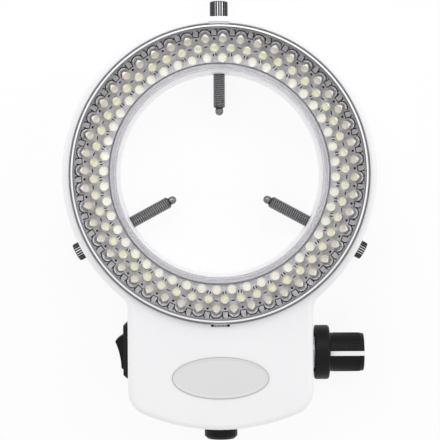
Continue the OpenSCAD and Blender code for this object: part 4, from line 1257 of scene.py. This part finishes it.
def cover_screw_mesh():
    """Pan-head screw with a cross recess, head down at z = 0."""
    head = revolved("head", [
        (0, -1.6 * MM), (1.7 * MM, -1.55 * MM), (2.2 * MM, -1.35 * MM), (2.45 * MM, -0.9 * MM),
        (2.5 * MM, -0.4 * MM), (2.5 * MM, 0), (1.3 * MM, 0), (1.3 * MM, 7 * MM), (0, 8 * MM)], 32)
    slot_l, slot_w = 1.4 * MM, 0.28 * MM
    for x, y in ((slot_l, slot_w), (slot_w, slot_l)):
        slot = bmesh.new()
        block(slot, (-x, -y, -2 * MM), (x, y, -0.8 * MM))
        head = carve(head, to_mesh(slot, "slot"), "DIFFERENCE")
    return head


# Operators

class RINGLIGHT_OT_housing(bpy.types.Operator):
    """Make the white front housing and the rear cover"""

    bl_idname = "ring_light.housing"
    bl_label = "Housing"

    def execute(self, context):
        sizes = context.scene.ring_light_sizes
        piece("housing_shell", front_housing_mesh(sizes.edge_round), "housing", "housing",
              ["front_housing"])
        piece("rear_shell", rear_cover_mesh(sizes.back_round), "housing", "housing",
              ["rear_cover"])
        return {"FINISHED"}


class RINGLIGHT_OT_cover(bpy.types.Operator):
    """Make the clear cover over the lamps"""

    bl_idname = "ring_light.cover"
    bl_label = "Clear cover"

    def execute(self, context):
        cover = piece("clear_cover", lens_cover_mesh(), "cover", "housing",
                      ["lens_cover"])
        cover.visible_shadow = False
        piece("cover_skirt", cover_skirt_mesh(), "skirt", "housing",
              ["lens_cover"])
        piece("cover_tabs", cover_tabs_mesh(), "tab", "housing",
              ["lens_cover"])
        piece("rim_line", rim_highlight_mesh(), "glint", "housing")
        piece("inner_line", inner_shade_mesh(), "shadow", "housing")
        piece("seat_ring", seat_ring_mesh(), "seat", "housing")
        piece("tab_marks", tab_slot_shades_mesh(), "pit", "housing")
        return {"FINISHED"}


class RINGLIGHT_OT_lamps(bpy.types.Operator):
    """Make the lamp plate and the three rows of lamps"""

    bl_idname = "ring_light.lamps"
    bl_label = "Lamps"

    def execute(self, context):
        count = context.scene.ring_light_sizes.lamps
        piece("cone_plate", lamp_plate_mesh(), "plate", "housing",
              ["lamp_plate"])
        half_step = math.pi / count

        def repeated(name, mesh, look, radius, turn, stands_for=(), angle=32, spin=0.0):
            copies = grown(ring_array_tree, mesh, {
                "Count": count, "Radius": radius, "Height": lamp_plate_z(radius),
                "Lean": LAMP_TILT, "Turn": turn, "Spin": spin, "Material": finish(look)})
            return piece(name, copies, look, "housing", stands_for, angle)

        for row, radius in ROWS.items():
            turn = LAMP_TURN + (half_step if row == "middle" else 0.0)
            bodies = repeated("lamp_bodies_" + row, lamp_body_mesh(), "epoxy", radius,
                              turn, ["leds_" + row], 40)
            bodies.visible_shadow = False
            cup_r, cup_shift, glints, pit_in = LAMP_LOOKS[row]
            repeated("lamp_cups_" + row, lamp_cup_mesh(cup_r, cup_shift), "phosphor",
                     radius, turn, (), 50)
            repeated("lamp_leads_" + row, lamp_lead_mesh(), "lead", radius, turn)
            if glints:
                repeated("lamp_glints_" + row, lamp_glint_mesh(glints), "glint",
                         radius, turn, (), 60, GLINT_SPIN)
            repeated("plate_pits_" + row, pit_mesh(row), "pit", radius - pit_in,
                     turn + half_step, spin=MARK_SPIN)
        outer = ROWS["outer"]
        repeated("lamp_marks", lamp_shade_mark_mesh(), "pit", outer, LAMP_TURN, spin=MARK_SPIN)
        repeated("plate_frames", plate_gap_shade_mesh(), "pit", outer + 0.75 * MM,
                 LAMP_TURN + half_step, spin=FRAME_SPIN)
        return {"FINISHED"}


class RINGLIGHT_OT_thumb_screws(bpy.types.Operator):
    """Make the three thumb screws, each with a threaded stud and a knurled head"""

    bl_idname = "ring_light.thumb_screws"
    bl_label = "Thumb screws"

    def execute(self, context):
        sizes = context.scene.ring_light_sizes
        stud, head = stud_mesh(sizes.pitch), head_mesh(sizes.knurls)
        for side, angle in SCREW_ANGLES.items():
            axis = Vector(JOINTS[f"head_{side}_turn"]["axis"])
            reach = max(point.dot(axis) for point in node_points("thumb_head_" + side))
            under_head = screw_place(angle, reach - HEAD_LEN)
            body = stud.copy()
            body.transform(under_head @ Matrix.Translation((0, 0, -SCREW_LEN)))
            piece("stud_" + side, body, "thread", "stud_" + side,
                  ["thumb_stud_" + side], 25)
            cap = head.copy()
            cap.transform(under_head)
            piece("knurled_head_" + side, cap, "knurl", "head_" + side,
                  ["thumb_head_" + side], 25)
        return {"FINISHED"}


class RINGLIGHT_OT_switch(bpy.types.Operator):
    """Make the rocker switch in the left wall"""

    bl_idname = "ring_light.switch"
    bl_label = "Rocker switch"

    def execute(self, context):
        pivot = Vector(JOINTS["rocker_tip"]["pos_m"])
        bezel = switch_frame_mesh()
        bezel.transform(Matrix((
            (0, 0, -1, -BOX_X), (1, 0, 0, pivot.y), (0, -1, 0, pivot.z), (0, 0, 0, 1))))
        piece("switch_bezel", bezel, "black", "housing", ["switch_frame"], 25)
        rocker = rocker_mesh()
        tilt = abs(JOINTS["rocker_tip"]["range_deg"][0]) / 2
        rocker.transform(Matrix.Translation(pivot) @ Matrix.Rotation((180 + tilt) * DEG, 4, "Z"))
        piece("rocker_cap", rocker, "black", "rocker", ["switch_rocker"], 40)
        return {"FINISHED"}


class RINGLIGHT_OT_knob(bpy.types.Operator):
    """Make the dimmer knob in the right wall and its white pointer line"""

    bl_idname = "ring_light.knob"
    bl_label = "Dimmer knob"

    def execute(self, context):
        axis = Vector(JOINTS["dimmer_turn"]["pos_m"])
        place = Matrix.Translation((0, axis.y, axis.z)) @ Matrix.Rotation(90 * DEG, 4, "Y")
        knob = knob_mesh(context.scene.ring_light_sizes.flutes)
        knob.transform(place)
        piece("knob_cap", knob, "black", "dimmer", ["dimmer_knob"], 30)
        line = bmesh.new()
        block(line, POINTER_LO, POINTER_HI)
        line = bevelled(to_mesh(line, "line"), 0.08 * MM, 2)
        piece("pointer_line", line, "white_ink", "dimmer", ["knob_pointer"])
        return {"FINISHED"}


class RINGLIGHT_OT_inlet(bpy.types.Operator):
    """Make the power inlet at the end of the box"""

    bl_idname = "ring_light.inlet"
    bl_label = "Power inlet"

    def execute(self, context):
        inlet = inlet_mesh()
        inlet.transform(INLET_PLACE)
        piece("inlet_flange", inlet, "black", "housing", ["inlet_body"])
        return {"FINISHED"}


class RINGLIGHT_OT_badge(bpy.types.Operator):
    """Make the bare oval plate on the box"""

    bl_idname = "ring_light.badge"
    bl_label = "Oval plate"

    def execute(self, context):
        piece("oval_plate", badge_mesh(), "badge", "housing", ["badge_plate"], 50)
        piece("oval_edge", badge_edge_mesh(), "badge_edge", "housing",
              ["badge_plate"], 50)
        return {"FINISHED"}


class RINGLIGHT_OT_cover_screws(bpy.types.Operator):
    """Make the six screws in the back"""

    bl_idname = "ring_light.cover_screws"
    bl_label = "Cover screws"

    def execute(self, context):
        dots = bpy.data.meshes.new("dots")
        dots.from_pydata(at_height(cover_screw_places(), SCREW_SEAT_Z), [], [])
        places = bpy.data.objects.new("dots", dots)
        context.scene.collection.objects.link(places)
        screws = grown(places_tree, cover_screw_mesh(), {"Places": places, "Material": finish("steel")})
        bpy.data.objects.remove(places)
        piece("pan_head_screws", screws, "steel", "housing", ["cover_screws"])
        return {"FINISHED"}


INNER_FINISHES = {
    "board": ["led_board", "driver_board"],
    "chip": ["board_resistors", "driver_regulator", "driver_capacitor", "driver_inductor",
             "driver_resistors"],
    "brass": ["thread_inserts", "switch_contact", "switch_terminals", "pot_terminals",
              "pot_bushing", "dimmer_wiper", "inlet_pin", "inlet_contact"],
    "steel": ["switch_spring", "pot_case", "pot_washer", "pot_nut", "inlet_nut", "board_screws"],
    "aluminium": ["dimmer_shaft"],
    "ivory": ["switch_plunger", "wire_header"],
    "brown": ["pot_wafer"],
    "red": ["supply_wires", "lamp_wires"],
    "dark": ["switch_wires", "dimmer_wires"],
}


class RINGLIGHT_OT_inner_parts(bpy.types.Operator):
    """Give the parts inside the housing their finishes"""

    bl_idname = "ring_light.inner_parts"
    bl_label = "Inner parts"

    def execute(self, context):
        for name, nodes in INNER_FINISHES.items():
            for node in nodes:
                mesh = frame["nodes"][node].data
                mesh.materials.clear()
                mesh.materials.append(finish(name))
        return {"FINISHED"}


def seen_or_lit(tree, seen, lit):
    """Strength of a background where it is seen, also in mirrors or clear plastic, or only lights."""
    path = tree.nodes.new("ShaderNodeLightPath")
    total = path.outputs["Is Camera Ray"]
    for ray in ("Is Glossy Ray", "Is Transmission Ray"):
        total = add_node(
            tree, "ShaderNodeMath", {0: total, 1: path.outputs[ray]}, operation="MAXIMUM")
    return spread(tree, total, lit, seen)


def floor_material():
    """Pale lit floor that still takes a faint shadow."""
    material = bpy.data.materials.new("pale_floor")
    material.use_nodes = True
    tree = material.node_tree
    tree.nodes.clear()
    paper = add_node(tree, "ShaderNodeBsdfDiffuse", {"Color": (0.9, 0.9, 0.9, 1)})
    glow = add_node(tree, "ShaderNodeEmission", {"Strength": seen_or_lit(tree, 1.0, FLOOR_GLOW)})
    mixed = add_node(tree, "ShaderNodeMixShader", {0: GLOW_SHARE, 1: paper, 2: glow})
    out = tree.nodes.new("ShaderNodeOutputMaterial")
    tree.links.new(mixed, out.inputs["Surface"])
    return material


def soft_light(name, place, size, watts):
    """Square soft box that looks at the object."""
    lamp = bpy.data.lights.new(name, "AREA")
    lamp.shape = "SQUARE"
    lamp.size = size
    lamp.energy = watts
    obj = bpy.data.objects.new(name, lamp)
    obj.location = place
    obj.rotation_euler = (Vector(LIGHT_AIM) - Vector(place)).to_track_quat("-Z", "Y").to_euler()
    bpy.context.scene.collection.objects.link(obj)


class RINGLIGHT_OT_stage(bpy.types.Operator):
    """Make the floor, the light and the camera"""

    bl_idname = "ring_light.stage"
    bl_label = "Stage"

    def execute(self, context):
        scene = context.scene
        stage = scene.ring_light_stage
        bm = bmesh.new()
        bmesh.ops.create_grid(bm, x_segments=1, y_segments=1, size=3)
        ground = to_mesh(bm, "floor")
        ground.materials.append(floor_material())
        floor = bpy.data.objects.new("floor", ground)
        floor.location.z = -0.05 * MM
        scene.collection.objects.link(floor)

        world = bpy.data.worlds.new("studio")
        scene.world = world
        world.use_nodes = True
        tree = world.node_tree
        sky = tree.nodes["Background"]
        tree.links.new(seen_or_lit(tree, 1.0, SKY_GLOW), sky.inputs["Strength"])
        sky.inputs["Color"].default_value = (1, 1, 1, 1)

        for name, settings in LIGHTS.items():
            soft_light(name, *settings)

        eye = Vector((*stage.camera_place, FRONT_Z + stage.camera_height))
        target = Vector((*stage.aim, FRONT_Z))
        lens = bpy.data.cameras.new("camera")
        lens.sensor_width = 36
        lens.lens = lens.sensor_width * (eye - target).length / stage.view_width
        lens.clip_start = 0.05
        camera = bpy.data.objects.new("camera", lens)
        camera.location = eye
        back = (eye - target).normalized()
        right = Vector((0, 1, 0)).cross(back).normalized()
        right.rotate(Matrix.Rotation(-stage.roll, 3, back))
        camera.rotation_euler = Matrix((right, back.cross(right), back)).transposed().to_euler()
        scene.collection.objects.link(camera)
        scene.camera = camera
        scene.view_settings.view_transform = "Standard"
        return {"FINISHED"}


BUILD_ORDER = (
    RINGLIGHT_OT_housing, RINGLIGHT_OT_cover, RINGLIGHT_OT_lamps, RINGLIGHT_OT_thumb_screws,
    RINGLIGHT_OT_switch, RINGLIGHT_OT_knob, RINGLIGHT_OT_inlet, RINGLIGHT_OT_badge,
    RINGLIGHT_OT_cover_screws, RINGLIGHT_OT_inner_parts, RINGLIGHT_OT_stage,
)


class RINGLIGHT_PT_panel(bpy.types.Panel):
    """Buttons and settings of the ring light"""

    bl_idname = "RINGLIGHT_PT_panel"
    bl_label = "Ring light"
    bl_space_type = "VIEW_3D"
    bl_region_type = "UI"
    bl_category = "Ring light"

    def draw(self, context):
        for group in GROUPS:
            settings = getattr(context.scene, group)
            for key in settings.__annotations__:
                self.layout.prop(settings, key)
        for operator in BUILD_ORDER:
            self.layout.operator(operator.bl_idname)


GROUPS = {
    "ring_light_sizes": RingLightSizes,
    "ring_light_colours": RingLightColours,
    "ring_light_stage": RingLightStage,
}


def register():
    """Registers the classes and hangs the settings on the scene."""
    for cls in (*GROUPS.values(), *BUILD_ORDER, RINGLIGHT_PT_panel):
        bpy.utils.register_class(cls)
    for name, cls in GROUPS.items():
        setattr(bpy.types.Scene, name, bpy.props.PointerProperty(type=cls))


def unregister():
    """Takes the settings and the classes away again."""
    for name in GROUPS:
        delattr(bpy.types.Scene, name)
    for cls in reversed((*GROUPS.values(), *BUILD_ORDER, RINGLIGHT_PT_panel)):
        bpy.utils.unregister_class(cls)


def main():
    """Builds every piece and the stage."""
    register()
    for operator in BUILD_ORDER:
        name = operator.bl_idname.split(".")[1]
        getattr(bpy.ops.ring_light, name)()


if __name__ == "__main__":
    main()
